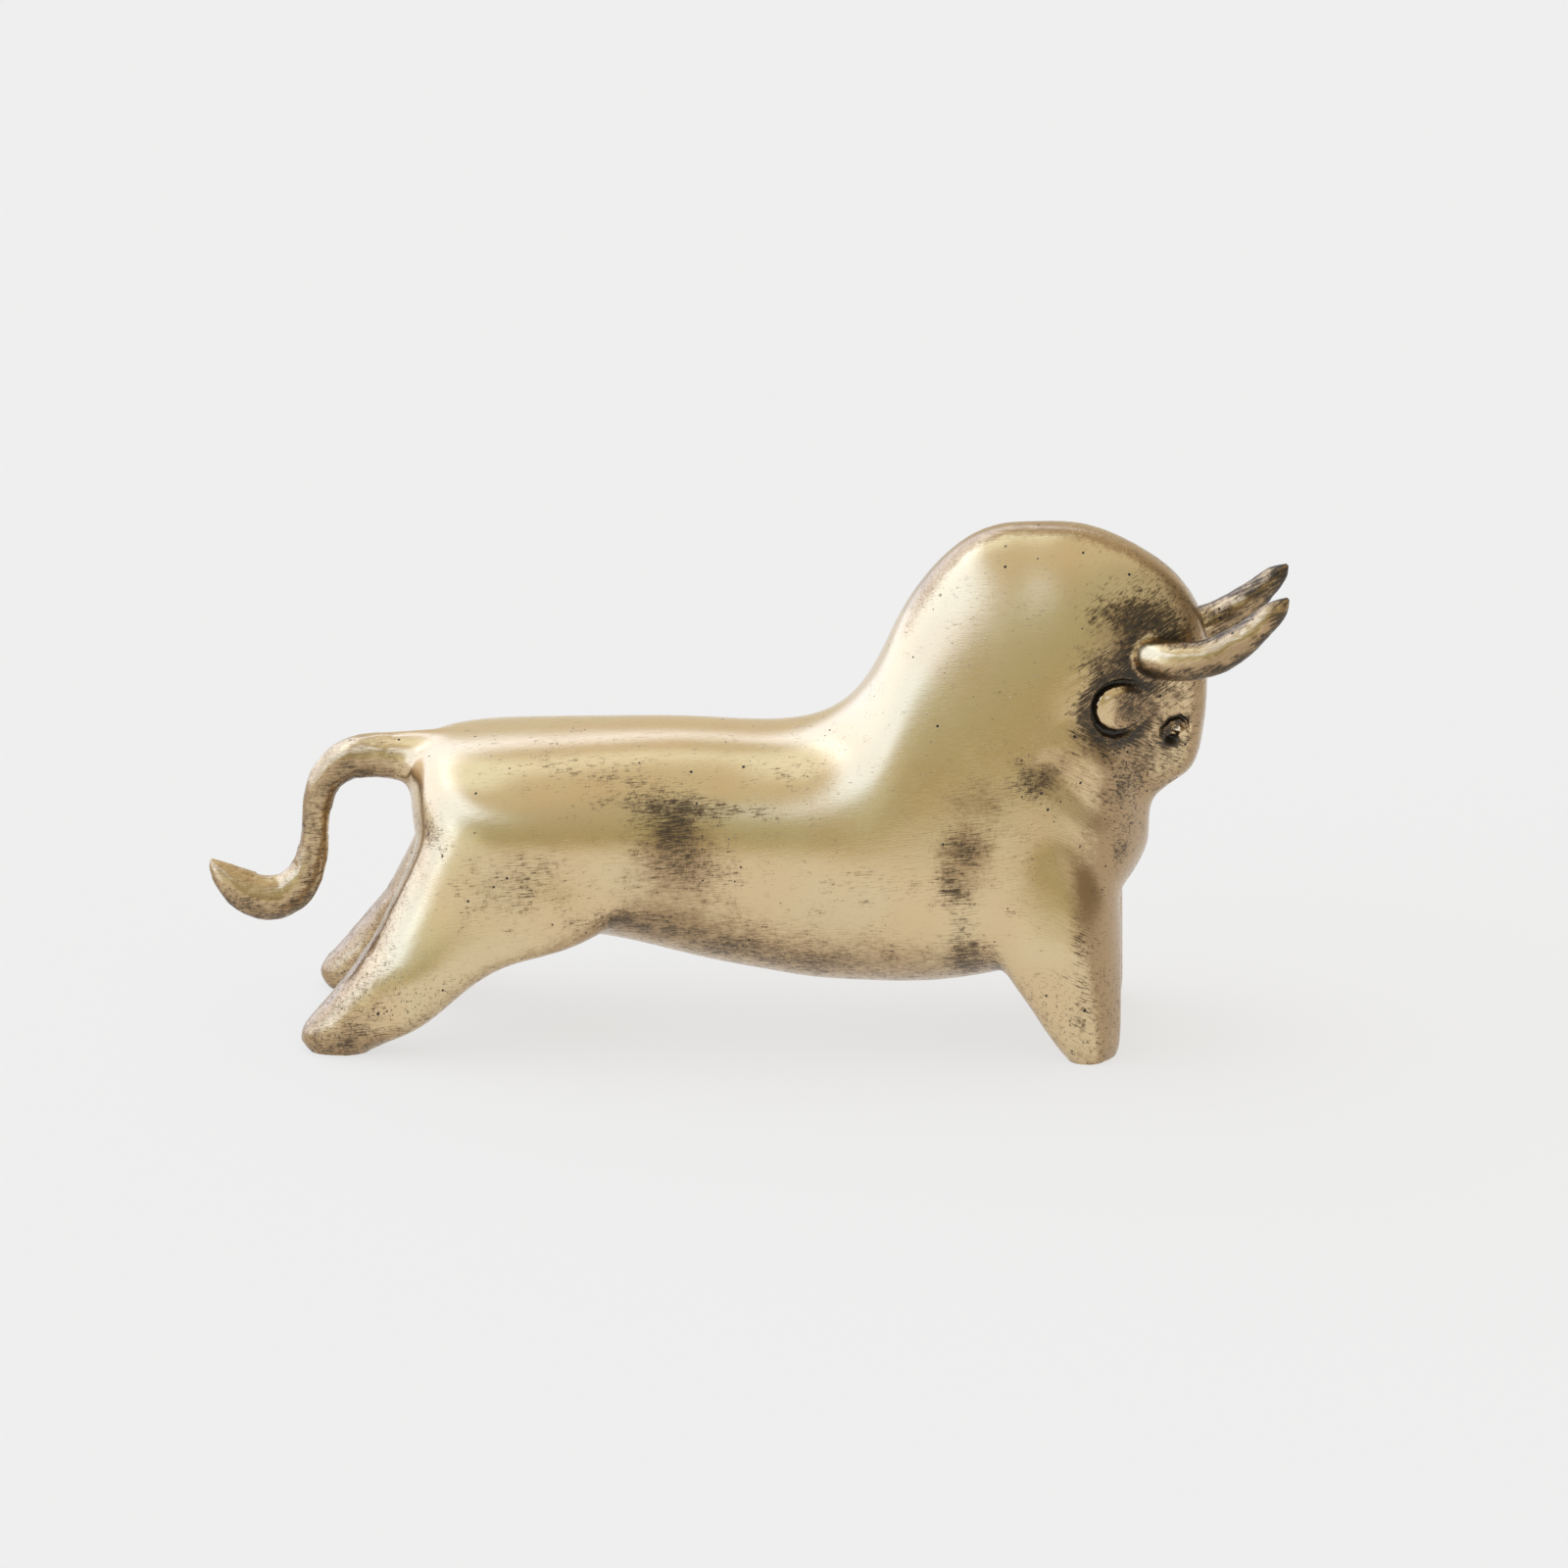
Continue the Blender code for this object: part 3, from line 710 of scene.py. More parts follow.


# Where the patina, tarnish and painted shade lie

placesOfPatinaAndShade = {
    # place, half lengths along x, y and z, and strength
    "near": [
        ((-20.6, -34.6, 68.5), (8, 14, 9), 1.0), ((-15, -36, 57), (13, 12, 9), 0.5),
        ((-21, -33, 75.5), (15, 10, 3), 0.55), ((-1, -33, 74.5), (13, 10, 2.4), 0.42),
        ((-65, -39.4, 54), (13, 10, 9), 0.45), ((88, -40.3, 84.7), (7, 12, 5), 1.0),
        ((82, -41, 84.5), (6, 12, 5), 0.5), ((65.5, -41.7, 65.6), (7, 12, 6), 0.85),
        ((61, -39, 54), (5, 10, 5), 0.8), ((65.4, -32.4, 39), (5, 9, 12), 1.05),
        # the three narrow hills down the front leg's ridge, at x 98.5 to 100, paint a dark reflection as a
        # streak
        ((67, -26, 31), (6, 8, 6), 1.0), ((98.5, -41.7, 38.9), (2.2, 9, 9), 0.6),
        ((100, -41.8, 26), (2.2, 9, 8), 0.55), ((100, -42, 13), (3, 9, 5), 0.75),
        # the next four hills paint shade in the arch under the flank, between thigh and belly
        ((-39.4, -33.8, 40.7), (11, 8, 4), 0.8), ((-22.4, -30, 38), (12, 10, 4.5), 0.6),
        ((-5.4, -27, 31.5), (12, 10, 4.5), 0.6), ((18, -26.5, 27), (14, 10, 5), 0.5),
        ((117, -14.5, 130), (9, 9, 8), 1.0), ((107, -19, 133), (9, 9, 5.5), 0.6),
        ((124.5, -13.3, 123.4), (7, 7, 7), 1.1), ((113.6, -17.6, 119.9), (6, 8, 8), 1.2),
        ((105.2, -23.7, 116.6), (8, 9, 5), 1.0), ((98.4, -32.6, 105.6), (4.4, 8, 4.4), 1.0),
        ((99.8, -30, 98.6), (4.6, 8, 3.6), 1.0), ((106.4, -26, 94.0), (7, 9, 3.4), 0.65),
        ((114.5, -20, 93.0), (6, 9, 3.0), 0.8), ((117.1, -17.2, 88.7), (9, 9, 5), 0.25),
        ((120.6, -14, 86.4), (7, 8, 6), 0.5), ((114, -19.6, 81.9), (8, 9, 6), 0.3),
        ((102.6, -30.2, 90.7), (9, 9, 4.5), 0.25), ((110.7, -23.1, 78.4), (8, 9, 7), 0.4),
        ((110.4, -23.4, 61.2), (2.6, 6, 2.6), 0.8), ((111.5, -21, 67), (5, 8, 8), 0.3),
        ((118, -17, 99), (5, 8, 6), 0.5), ((128, -13, 106), (6, 7, 9), 0.48),
        ((117.1, -8.5, 142.7), (7, 8, 5), 0.2), ((-54.1, -24.2, 85.6), (14, 8, 4), 0.34),
        ((-33.9, -28.7, 81), (11, 8, 5), 0.38), ((14.8, -25.7, 84), (12, 8, 5), 0.3),
        ((35.5, -39.2, 55.3), (13, 8, 6), 0.34), ((-89.7, -32.3, 66), (5, 8, 6), 0.4),
        ((-103.5, -41.8, 28), (5, 6, 7), 0.26), ((-118, -42.4, 6), (7, 6, 3), 0.15),
        ((88.5, -42.1, 26), (7, 5, 7), 0.28), ((93, -40, 10), (6, 5, 7), 0.22),
    ],
    "far": [
        ((-34, 35, 64), (11, 14, 10), 0.9), ((-27, 36, 55), (14, 12, 8), 0.5),
        ((-74, 38, 50), (14, 10, 9), 0.5), ((84, 41, 80), (9, 12, 7), 0.85),
        ((64, 41.7, 61), (7, 12, 7), 0.85), ((65.4, 32.4, 39), (5, 9, 12), 1.1),
        # the narrow hill at x 99.5 paints the same dark reflection streak down the far front leg's ridge
        ((67, 26, 31), (6, 8, 6), 1.0), ((99.5, 41.8, 30), (2.8, 9, 12), 0.5),
        # the next four hills paint the same shade in the arch under the far flank
        ((-39.4, 33.8, 40.7), (11, 8, 4), 0.75), ((-22.4, 30, 38), (12, 10, 4.5), 0.7),
        ((-5.4, 27, 31.5), (12, 10, 4.5), 0.55), ((18, 26.5, 27), (14, 10, 5), 0.5),
        ((117.5, 14.5, 130), (10, 9, 9), 1.1), ((124.5, 13.3, 123.4), (7, 7, 7), 1.1),
        ((113.6, 17.6, 119.9), (6, 8, 8), 1.2), ((105.2, 23.7, 116.6), (8, 9, 5), 1.0),
        ((98.4, 32, 104), (4.4, 8, 4.4), 0.9), ((99.8, 30, 98.6), (5, 8, 3.6), 1.0),
        ((106.4, 26, 93.6), (7, 9, 3.6), 1.0), ((112.5, 20, 93), (7, 9, 3.4), 0.9),
        ((114, 17.2, 87), (9, 9, 5), 0.6), ((119, 14, 86.4), (7, 8, 6), 0.5),
        ((109, 23.1, 79), (8, 9, 7), 0.45), ((117.1, 8.5, 142.7), (7, 8, 5), 0.5),
        ((30, 38, 60), (12, 8, 7), 0.4), ((-118, 42.4, 7), (7, 6, 4), 0.6),
        ((93, 40, 10), (6, 5, 7), 0.5), ((10, 30, 79), (12, 8, 6), 0.3),
    ],
    # ear and eye, alike on both sides
    "both": [
        ((111.8, 21, 104), (4.2, 7, 5.6), 0.95), ((105.2, 25, 103.2), (2.4, 8, 4.4), -0.9),
        ((118.5, 15.5, 110), (6, 6, 6), 1.0), ((116.5, 17, 113), (5, 8, 5), 1.2),
        ((126, 13, 95), (5.5, 8, 5.5), 0.55), ((124.9, 13, 91.5), (2.6, 6, 1.7), 1.9),
        ((123.4, 13, 94.8), (1.2, 6, 2.4), 1.3), ((128, 13, 98.2), (3.0, 6, 1.1), 1.1),
        ((127.2, 13, 94.6), (1.5, 6, 1.3), -1.5),
    ],
    "shadeUnderneath": 0.30,         # painted shade: patina colour on the faces that look down
    "tail": 0.6,
    "horn": 0.8,
    "earRing": 1.35,            # round the outside of the ear's groove
    "hornTip": 0.7,
    # the same for the brown tone, on both sides: partly tarnish, partly painted shade that darkens chest,
    # shoulder, neck and legs in place of darker reflections
    "tarnishAndShade": [
        ((112, 21, 70), (10, 14, 12), 0.8), ((96, 34, 90), (9, 9, 7), 0.5),
        ((120, 14, 98), (10, 9, 14), 0.4), ((110, 38, 44), (7, 12, 30), 0.85),
        ((69, 40, 79), (9, 12, 7), 0.7), ((87, 41, 61), (8, 12, 12), 0.25),
        ((-112, 8, 76), (16, 9, 9), 0.35), ((-18, 34, 43), (22, 12, 8), 0.35),
        ((113, 20, 125), (12, 10, 14), 0.45), ((88, 40, 85), (10, 12, 8), 0.35),
        ((65, 40, 60), (9, 12, 12), 0.5), ((99, 41, 56), (4, 10, 20), 0.6),
        ((-20, 35, 58), (14, 14, 12), 0.55), ((-66, 40, 54), (15, 12, 11), 0.35),
        ((66, 40, 64), (9, 12, 9), 0.4), ((20, 30, 22), (60, 12, 9), 0.35),
        ((-45, 30, 36), (40, 12, 6), 0.35), ((-20, 35, 66), (14, 12, 14), 0.35),
        ((106, 24, 103), (5, 9, 6), 0.35),
    ],
    "chest": 1.0,               # painted dark reflection: brown on the faces that look forward
    "crest": 0.75,              # brown along the crest of hump and forehead
    "rear": 0.45,               # and behind the thighs
}


def sumOfHills(points, hills):
    # each hill's strength times its Gaussian, added up
    total = np.zeros(len(points))
    for place, size, strength in hills:
        total += strength * bump(points, np.array(place), np.array(size))
    return total


def hornMask(folded):
    # 1 on a horn and 0 off it, by the distance to the horn's path over the horn's radius there
    path = np.array(horns["path"])
    gap, share = alongPath(folded, path[:, :3])
    radius = np.interp(share, lengthShares(path[:, :3]), path[:, 3])
    mask = (1 - smoothStep(gap / radius, 1.12, 1.40)) * smoothStep(folded[:, 1], 13.5, 16.0)
    return np.maximum(mask, smoothStep(folded[:, 0], 137, 139))


def earRing(folded):
    # 1 along the outside of the ear's groove, fading out within 7 mm of it
    gap, _ = alongPath(folded[:, [0, 2]], np.array(ear["groove"])[:, :2])
    outside = smoothStep(earOval(folded[:, 0], folded[:, 2]), 0.95, 1.15)
    return (1 - smoothStep(gap, 2.0, 6.8)) * outside * (folded[:, 1] > 8)


def paintPatinaAndShade(mesh):
    # patina and tarnish are sums of the hills at the named places and of masks on which way the skin looks;
    # they hold painted shade on down-looking faces and a painted dark reflection on forward-looking ones;
    # hollow is how far a point lies below its smoothed surroundings, with the carved depth added
    points, triangles = readMesh(mesh)
    depth = np.zeros(len(points), np.float32)
    mesh.attributes["cutDepth"].data.foreach_get("value", depth)
    faces = np.full((len(triangles), 4), -1)
    faces[:, :3] = triangles
    edges = faceEdges(faces)
    normals = pointNormals(points, triangles)
    soft = relaxed(normals, edges, 10)
    soft /= np.linalg.norm(soft, axis=1)[:, None] + 1e-9
    x, y, z = points.T
    folded = np.column_stack([x, np.abs(y), z])
    places = placesOfPatinaAndShade

    # the hills, fainter on the horns, and the dark ring of the ear
    horn = hornMask(folded)
    patinaAndShade = sumOfHills(points, places["near"] + places["far"]) + sumOfHills(folded, places["both"])
    patinaAndShade *= 1 - 0.85 * horn
    patinaAndShade = np.maximum(patinaAndShade, patinaAndShade * 0.5 + places["earRing"] * earRing(folded) * (1 - horn))
    tarnishAndShade = sumOfHills(folded, places["tarnishAndShade"])

    # by which way the skin looks: painted shade on the faces that look down, and a painted dark reflection
    # on those that look forward
    patinaAndShade += places["shadeUnderneath"] * smoothStep(-soft[:, 2], 0.15, 0.75)
    chest = smoothStep(soft[:, 0], 0.34, 0.74) * smoothStep(x, 90, 100)
    chest *= 1 - smoothStep(z, 128, 150) * 0.4
    crest = smoothStep(-np.abs(soft[:, 1]), -0.66, -0.46) * smoothStep(x, 35, 55) * smoothStep(z, 118, 130)
    rear = smoothStep(-soft[:, 0], 0.5, 0.85) * smoothStep(-x, 60, 70) * smoothStep(-z, -80, -66)
    tarnishAndShade += places["chest"] * chest * (0.75 + 0.25 * smoothStep(z, 50, 75))
    tarnishAndShade += places["crest"] * crest + places["rear"] * rear
    # painted shade: brown on the faces that look down
    tarnishAndShade += 0.45 * smoothStep(-soft[:, 2], 0.15, 0.6)
    patinaAndShade += 0.2 * (chest + crest + rear)

    # tail and horns
    tail = smoothStep(-x, 96, 116)
    patinaAndShade += tail * (0.12 + places["tail"] * smoothStep(-soft[:, 2], -0.35, 0.3))
    tarnishAndShade += 0.5 * tail
    streak = smoothStep(valueNoise(points * (0.5, 1, 1), 3.0, 31), -0.2, 0.4) * smoothStep(x, 116, 142)
    upper = smoothStep(soft[:, 2], 0.60, 0.88) * smoothStep(x, 118, 128)
    inner = smoothStep(-soft[:, 1] * np.sign(y), -0.1, 0.6)
    under = smoothStep(-soft[:, 2], -0.15, 0.45)
    sides = np.maximum(np.maximum(upper, 0.7 * inner), under)
    patinaAndShade += horn * (places["horn"] * sides + 0.6 * streak + places["hornTip"] * smoothStep(x, 152, 157))
    tarnishAndShade *= 1 - 0.7 * horn
    tarnishAndShade += horn * (0.55 * smoothStep(x, 124, 138) + 0.8 * smoothStep(-soft[:, 2], -0.35, 0.25)
                       + 0.5 * smoothStep(soft[:, 2], 0.7, 0.95))

    broad = relaxed(points, edges, 11)
    sunk = ((broad - points) * normals).sum(1)
    hollow = smoothStep(sunk, 0.10, 0.55) + smoothStep(depth, 0.5, 1.9)
    ridge = smoothStep(-sunk, 0.06, 0.4)
    # patina and tarnish both carry painted shade as well as the real layers
    for name, values in (("patinaAndShade", patinaAndShade), ("tarnishAndShade", np.clip(tarnishAndShade, 0, 1.2)),
                         ("hollow", np.clip(hollow, 0, 1)), ("ridge", ridge)):
        layer = mesh.attributes.new(name, "FLOAT", "POINT")
        layer.data.foreach_set("value", values.astype(np.float32))
    mesh.attributes.remove(mesh.attributes["cutDepth"])


paintPatinaAndShade(bull.data)
bull.data.polygons.foreach_set("use_smooth", np.ones(len(bull.data.polygons), bool))
bull.data.set_sharp_from_angle(angle=math.radians(48))
print("patina laid")


# Materials

brass = {
    "clean": (0.735, 0.590, 0.360, 1),
    "warm": (0.735, 0.560, 0.335, 1),
    # this brown stands for tarnish and for painted shade alike
    "brownTarnishAndShade": (0.41, 0.275, 0.150, 1),
    "film": (0.205, 0.145, 0.090, 1),
    "streak": (0.088, 0.066, 0.044, 1),
    "black": (0.030, 0.027, 0.024, 1),
    "roughness": 0.20,
    "filmRoughness": 0.36,
    # where each layer of patina, tarnish and painted shade starts, where it is full, and the most it covers
    "brownTarnishAndShadeLayer": (0.05, 1.05, 0.9),
    "filmLayer": (0.25, 1.05, 0.72),
    "streakLayer": (0.76, 1.12, 0.72),
    "blackLayer": (1.25, 1.9, 0.8),
    # strokes of the brush: angle in the side view, length and width
    "levelStroke": (5, 4.0, 0.30),
    "risingStroke": (30, 6.0, 0.40),
    "slopedStroke": (-27, 8.0, 0.44),
    "steepStroke": (78, 2.8, 0.24),
    "scratch": (10, 9.0, 0.20),
    # sizes of the spots, from the finest to the slow change of tone
    "grain": 0.40,
    "fleck": 1.5,
    "cloud": 6.0,
    "broad": 28.0,
    "pitSpacing": 1.9,
    "crackSize": 1.4,
    "relief": 0.04,             # depth of the finest relief
}


def addNode(tree, kind, values=None, **settings):
    # a node with its settings and its unlinked input values
    made = tree.nodes.new(kind)
    for name, value in settings.items():
        setattr(made, name, value)
    for name, value in (values or {}).items():
        made.inputs[name].default_value = value
    return made


def mathNode(tree, operation, first, second, clamp=False):
    # one sum on two values, each a socket or a number
    made = addNode(tree, "ShaderNodeMath", operation=operation, use_clamp=clamp)
    for slot, value in enumerate((first, second)):
        if isinstance(value, (int, float)):
            made.inputs[slot].default_value = value
        else:
            tree.links.new(value, made.inputs[slot])
    return made.outputs[0]


def easedRange(tree, value, low, high):
    # 0 below low and 1 above high, eased
    made = addNode(tree, "ShaderNodeMapRange", {"From Min": low, "From Max": high},
                   interpolation_type="SMOOTHSTEP")
    tree.links.new(value, made.inputs["Value"])
    return made.outputs["Result"]


def times(tree, first, second):
    # the product of two values
    return mathNode(tree, "MULTIPLY", first, second)


def larger(tree, first, second):
    # the larger of two values
    return mathNode(tree, "MAXIMUM", first, second)


def mixColour(tree, share, first, second):
    # the first colour where the share is 0 and the second where it is 1
    made = addNode(tree, "ShaderNodeMix", data_type="RGBA")
    tree.links.new(share, made.inputs["Factor"])
    for slot, value in ((6, first), (7, second)):
        if isinstance(value, tuple):
            made.inputs[slot].default_value = value
        else:
            tree.links.new(value, made.inputs[slot])
    return made.outputs[2]


def strokeNoise(tree, place, angle, length, width, detail=2.0):
    # noise drawn out along a stroke at that angle in the side view
    mapping = addNode(tree, "ShaderNodeMapping", {"Rotation": (0, -math.radians(angle), 0),
                                                  "Scale": (length * mm, 3 * width * mm, width * mm)},
                      vector_type="TEXTURE")
    tree.links.new(place, mapping.inputs["Vector"])
    noise = addNode(tree, "ShaderNodeTexNoise", {"Scale": 1.0, "Detail": detail, "Roughness": 0.55})
    tree.links.new(mapping.outputs[0], noise.inputs["Vector"])
    return noise.outputs["Fac"]


def spotNoise(tree, place, size, detail=2.0):
    # even noise with spots of about that size
    values = {"Scale": 1 / (size * mm), "Detail": detail, "Roughness": 0.6}
    noise = addNode(tree, "ShaderNodeTexNoise", values)
    tree.links.new(place, noise.inputs["Vector"])
    return noise.outputs["Fac"]


def weighted(tree, terms):
    # the sum of values less their middle, each times its weight
    total = None
    for value, middle, weight in terms:
        part = times(tree, mathNode(tree, "SUBTRACT", value, middle), weight)
        total = part if total is None else mathNode(tree, "ADD", total, part)
    return total


def layerShare(tree, value, name):
    # 0 where the layer starts and 1 where it is full
    return easedRange(tree, value, *brass[name + "Layer"][:2])


def castingPits(tree, place, cloud, patinaAndShade):
    # round pits of their own sizes at the cell points whose chance passes a threshold, in loose clusters
    scale = 1 / (brass["pitSpacing"] * mm)
    cells = addNode(tree, "ShaderNodeTexVoronoi", {"Scale": scale, "Randomness": 1.0})
    tree.links.new(place, cells.inputs["Vector"])
    picked = addNode(tree, "ShaderNodeSeparateColor")
    tree.links.new(cells.outputs["Color"], picked.inputs[0])
    chance = weighted(tree, [(picked.outputs[0], 0.0, 1.0), (cloud, 0.5, 0.35), (patinaAndShade, 0.0, 0.08)])
    width = times(tree, picked.outputs[1], 0.16)
    edge = mathNode(tree, "SUBTRACT", cells.outputs["Distance"], width)
    return times(tree, easedRange(tree, chance, 0.965, 0.985), easedRange(tree, edge, 0.13, 0.05))


def footCracks(tree, place, fleck, height):
    # crooked fine lines where a noise is near its middle value, only low down and in places
    noise = spotNoise(tree, place, brass["crackSize"], 1.0)
    contour = mathNode(tree, "ABSOLUTE", weighted(tree, [(noise, 0.5, 1.0)]), 0.0)
    kept = times(tree, easedRange(tree, fleck, 0.50, 0.58), easedRange(tree, height, 0.034, 0.016))
    return times(tree, easedRange(tree, contour, 0.022, 0.008), kept)


def brassMaterial():
    # clean metal browned by tarnish and by painted shade, under a soft film, dark strokes and black specks;
    # each lies where the painted values and the noises together pass its threshold
    material = bpy.data.materials.new("antique_brass")
    material.use_nodes = True
    tree = material.node_tree
    shader = tree.nodes["Principled BSDF"]
    place = addNode(tree, "ShaderNodeTexCoord").outputs["Object"]
    # the patina and tarnish attributes carry painted shade and a painted dark reflection too
    patinaAndShade, tarnishAndShade, hollow, ridge = (
        addNode(tree, "ShaderNodeAttribute", attribute_name=name).outputs["Fac"]
        for name in ("patinaAndShade", "tarnishAndShade", "hollow", "ridge")
    )

    # fine strokes run level on the barrel, rise over the horn and slope down across the throat,
    # and steep ones cross them
    split = addNode(tree, "ShaderNodeSeparateXYZ")
    tree.links.new(place, split.inputs[0])
    forward = easedRange(tree, split.outputs[0], 0.084, 0.096)
    upper = easedRange(tree, split.outputs[2], 0.098, 0.106)
    level = strokeNoise(tree, place, *brass["levelStroke"])
    rising = strokeNoise(tree, place, *brass["risingStroke"])
    sloped = strokeNoise(tree, place, *brass["slopedStroke"])
    steep = strokeNoise(tree, place, *brass["steepStroke"])
    front = mixColour(tree, upper, sloped, rising)
    stroke = mixColour(tree, forward, level, front)
    grain = spotNoise(tree, place, brass["grain"], 1.0)
    fleck = spotNoise(tree, place, brass["fleck"], 3.0)
    cloud = spotNoise(tree, place, brass["cloud"], 3.0)
    broad = spotNoise(tree, place, brass["broad"], 1.0)

    # the share of each layer; the film is rubbed off along some strokes
    # laid follows the patina with its painted shade, so film and streaks lie on that shade too
    laid = weighted(tree, [(patinaAndShade, 0.0, 1.0), (hollow, 0.0, 0.9), (ridge, 0.0, -0.4)])
    worn = weighted(tree, [(stroke, 0.5, 3.3), (steep, 0.5, 1.2), (grain, 0.5, 1.1), (fleck, 0.5, 1.1)])
    soft = weighted(tree, [(laid, 0.0, 1.0), (cloud, 0.5, 1.4), (fleck, 0.5, 1.0), (worn, 0.0, 0.30)])
    streaks = weighted(tree, [(laid, 0.0, 1.0), (worn, 0.0, 1.0), (cloud, 0.5, 0.9)])
    brown = weighted(tree, [(tarnishAndShade, 0.0, 1.0), (patinaAndShade, 0.0, 0.5), (worn, 0.0, 0.38), (cloud, 0.5, 0.8)])
    rubbed = times(tree, easedRange(tree, stroke, 0.43, 0.35), 0.55)
    filmShare = times(tree, layerShare(tree, soft, "film"), mathNode(tree, "SUBTRACT", 1.0, rubbed))
    scored = times(tree, easedRange(tree, stroke, 0.585, 0.66), easedRange(tree, patinaAndShade, 0.12, 0.45))
    streakShare = larger(tree, layerShare(tree, streaks, "streak"), scored)
    blackShare = layerShare(tree, streaks, "black")
    brownShare = layerShare(tree, brown, "brownTarnishAndShade")
    cracks = times(tree, footCracks(tree, place, fleck, split.outputs[2]), 0.8)
    pits = larger(tree, castingPits(tree, place, cloud, patinaAndShade), cracks)

    tone = mixColour(tree, easedRange(tree, broad, 0.35, 0.65), brass["clean"], brass["warm"])
    for share, name in ((brownShare, "brownTarnishAndShade"), (filmShare, "film"), (streakShare, "streak")):
        tone = mixColour(tree, times(tree, share, brass[name + "Layer"][2]), tone, brass[name])
    cut = times(tree, easedRange(tree, hollow, 0.6, 1.0), 0.9)
    dark = larger(tree, times(tree, blackShare, brass["blackLayer"][2]), larger(tree, pits, cut))
    tone = mixColour(tree, dark, tone, brass["black"])
    tree.links.new(tone, shader.inputs["Base Color"])
    metallic = mathNode(tree, "SUBTRACT", 1.0, times(tree, dark, 0.5))
    tree.links.new(metallic, shader.inputs["Metallic"])
    rougher = brass["filmRoughness"] - brass["roughness"]
    rough = weighted(tree, [(filmShare, 0.0, rougher), (stroke, 0.5, 0.30)])
    tree.links.new(mathNode(tree, "ADD", rough, brass["roughness"]), shader.inputs["Roughness"])

    # brush scratches, the film's own thickness and the pits as fine relief
    scratch = strokeNoise(tree, place, *brass["scratch"], 3.0)
    height = weighted(tree, [(scratch, 0.5, 0.6), (grain, 0.5, 0.25), (fleck, 0.5, 0.5), (stroke, 0.5, 0.45),
                             (times(tree, worn, filmShare), 0.0, 0.6), (pits, 0.0, -5.0)])
    relief = addNode(tree, "ShaderNodeBump", {"Strength": 1.0, "Distance": brass["relief"] * mm})
    tree.links.new(height, relief.inputs["Height"])
    tree.links.new(relief.outputs[0], shader.inputs["Normal"])
    return material


bull.data.materials.clear()
bull.data.materials.append(brassMaterial())
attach(bull, "root")
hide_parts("bull")
print("brass laid on")


# Stage, light and camera

studio = {
    "floorColour": (0.205, 0.195, 0.180, 1),
    "floorGlow": 0.675,
    # the room as the metal sees it, by direction
    "horizon": (0.74, 0.68, 0.50, 1),
    "frontLow": (0.47, 0.43, 0.26, 1),
    "frontHigh": (0.58, 0.57, 0.43, 1),
    "back": (0.77, 0.705, 0.56, 1),
    "right": (0.42, 0.38, 0.31, 1),
    "overhead": (0.76, 0.71, 0.58, 1),
    # direction, half width and half height in degrees, softness, colour, strength
    "windows": [
        ((-0.92, 0.18, 0.38), 53, 37, 0.20, (0.42, 0.58, 1.0), 1.6),
        ((-0.66, -0.74, 0.09), 22, 13, 0.22, (0.75, 0.90, 1.0), 0.38),
        ((0.66, -0.58, 0.42), 12, 12, 0.25, (1.0, 1.0, 0.92), 0.16),
        ((-0.354, 0.165, 0.92), 20, 20, 0.20, (0.58, 0.78, 1.0), 0.62),
    ],
}


def dotWith(tree, way, axis):
    # how far the direction points along an axis
    made = addNode(tree, "ShaderNodeVectorMath", {1: axis}, operation="DOT_PRODUCT")
    tree.links.new(way, made.inputs[0])
    return made.outputs["Value"]


def studioWorld():
    # the room runs from back to front, to the right and overhead, and soft windows add their light to it
    world = bpy.data.worlds.new("studio")
    world.use_nodes = True
    tree = world.node_tree
    way = addNode(tree, "ShaderNodeTexCoord").outputs["Generated"]
    split = addNode(tree, "ShaderNodeSeparateXYZ")
    tree.links.new(way, split.inputs[0])
    x, y, z = split.outputs
    front = mixColour(tree, easedRange(tree, z, 0.0, 0.13), studio["horizon"], studio["frontLow"])
    front = mixColour(tree, easedRange(tree, z, 0.02, 0.50), front, studio["frontHigh"])
    total = mixColour(tree, easedRange(tree, y, 0.35, -0.45), studio["back"], front)
    total = mixColour(tree, easedRange(tree, x, 0.35, 0.80), total, studio["right"])
    total = mixColour(tree, easedRange(tree, z, 0.55, 0.90), total, studio["overhead"])
    for direction, wide, high, softness, colour, strength in studio["windows"]:
        ahead = Vector(direction).normalized()
        sideways = ahead.cross(Vector((0, 0, 1))).normalized()
        upwards = sideways.cross(ahead)
        mask = easedRange(tree, dotWith(tree, way, ahead), 0.0, 0.1)
        for axis, half in ((sideways, wide), (upwards, high)):
            size = math.sin(math.radians(half))
            across = mathNode(tree, "ABSOLUTE", dotWith(tree, way, axis), 0.0)
            mask = times(tree, mask, easedRange(tree, across, size + softness / 2, size - softness / 2))
        tint = addNode(tree, "ShaderNodeVectorMath", {0: colour}, operation="SCALE")
        tree.links.new(times(tree, mask, strength), tint.inputs["Scale"])
        added = addNode(tree, "ShaderNodeVectorMath", operation="ADD")
        tree.links.new(total, added.inputs[0])
        tree.links.new(tint.outputs[0], added.inputs[1])
        total = added.outputs[0]
    tree.links.new(total, tree.nodes["Background"].inputs["Color"])
    bpy.context.scene.world = world


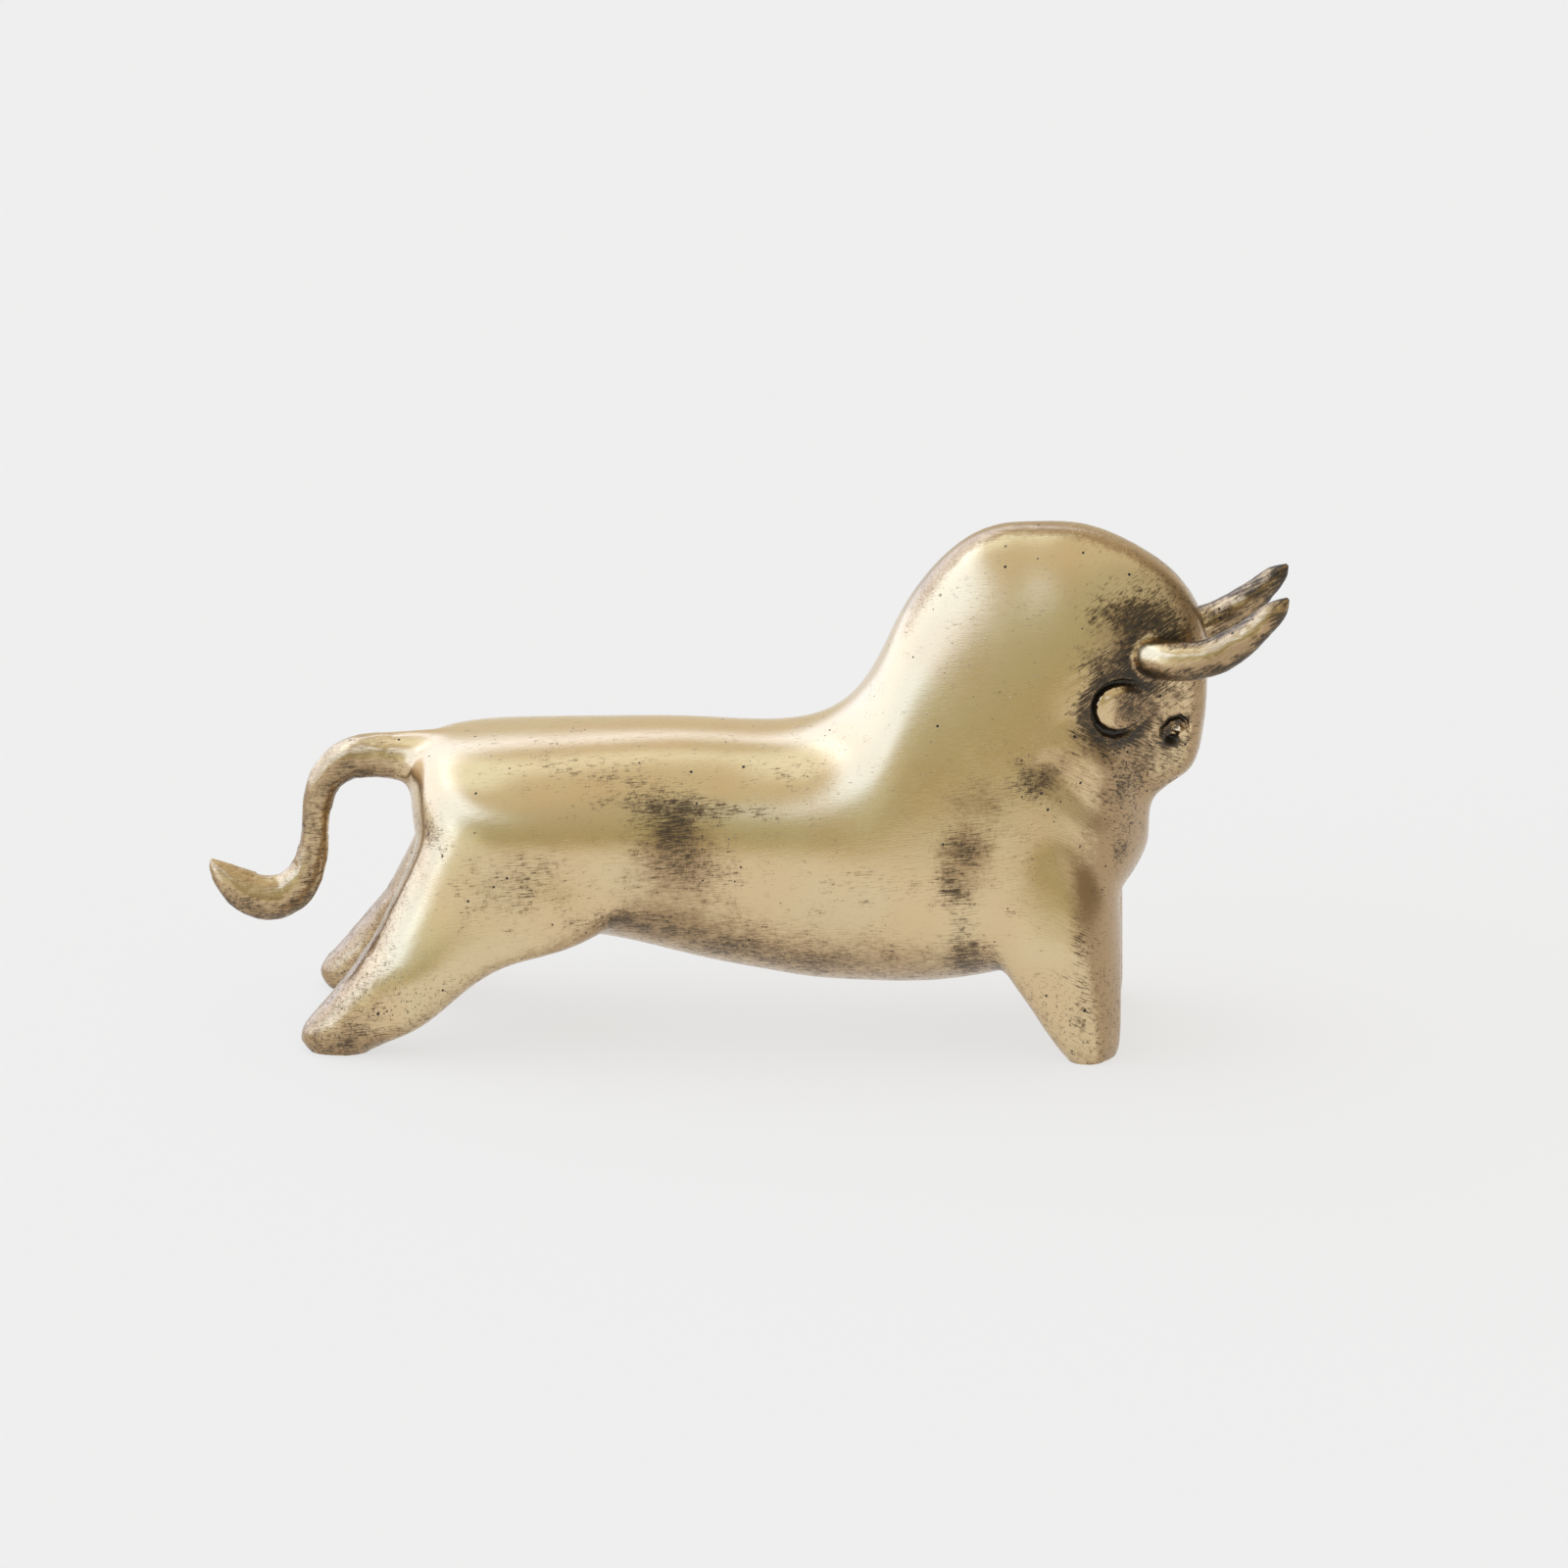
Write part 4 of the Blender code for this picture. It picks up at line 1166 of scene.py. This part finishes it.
def paleFloor():
    # one large square at the soles' height
    half = 30.0
    mesh = bpy.data.meshes.new("floor")
    corners = [(-half, -half, 0), (half, -half, 0), (half, half, 0), (-half, half, 0)]
    mesh.from_pydata(corners, [], [(0, 1, 2, 3)])
    floor = bpy.data.objects.new("floor", mesh)
    bpy.context.scene.collection.objects.link(floor)
    material = bpy.data.materials.new("pale_floor")
    material.use_nodes = True
    shader = material.node_tree.nodes["Principled BSDF"]
    shader.inputs["Base Color"].default_value = studio["floorColour"]
    shader.inputs["Roughness"].default_value = 1.0
    shader.inputs["Specular IOR Level"].default_value = 0.0
    shader.inputs["Emission Color"].default_value = (1, 1, 1, 1)
    shader.inputs["Emission Strength"].default_value = studio["floorGlow"]
    mesh.materials.append(material)


view = {
    "azimuth": 2.5,             # degrees round from square on to the bull's right side
    "elevation": 16.0,
    "distance": 2.90,
    "sensor": 36.0,
    "pixels": 1600,             # width and height of the picture
    "scale": 0.0002914,         # metres to one of its pixels at that distance
    "origin": (763, 1042),      # where the bull's origin falls in the picture
}


def placeCamera():
    # looks along the view direction from the distance away, aimed so that the origin falls where it should
    a, e = math.radians(view["azimuth"]), math.radians(view["elevation"])
    back = Vector((math.sin(a) * math.cos(e), -math.cos(a) * math.cos(e), math.sin(e)))
    right = Vector((math.cos(a), math.sin(a), 0))
    up = back.cross(right)
    originX, originY = view["origin"]
    middle = view["pixels"] / 2
    target = right * (middle - originX) * view["scale"] + up * (originY - middle) * view["scale"]
    data = bpy.data.cameras.new("camera")
    data.sensor_width = view["sensor"]
    data.lens = view["sensor"] * view["distance"] / (view["pixels"] * view["scale"])
    data.clip_start, data.clip_end = 0.1, 100.0
    camera = bpy.data.objects.new("camera", data)
    camera.location = target + back * view["distance"]
    camera.rotation_mode = "QUATERNION"
    camera.rotation_quaternion = (-back).to_track_quat("-Z", "Y")
    bpy.context.scene.collection.objects.link(camera)
    bpy.context.scene.camera = camera


studioWorld()
paleFloor()
placeCamera()
bpy.context.scene.view_settings.view_transform = "Standard"
print("stage, light and camera set")
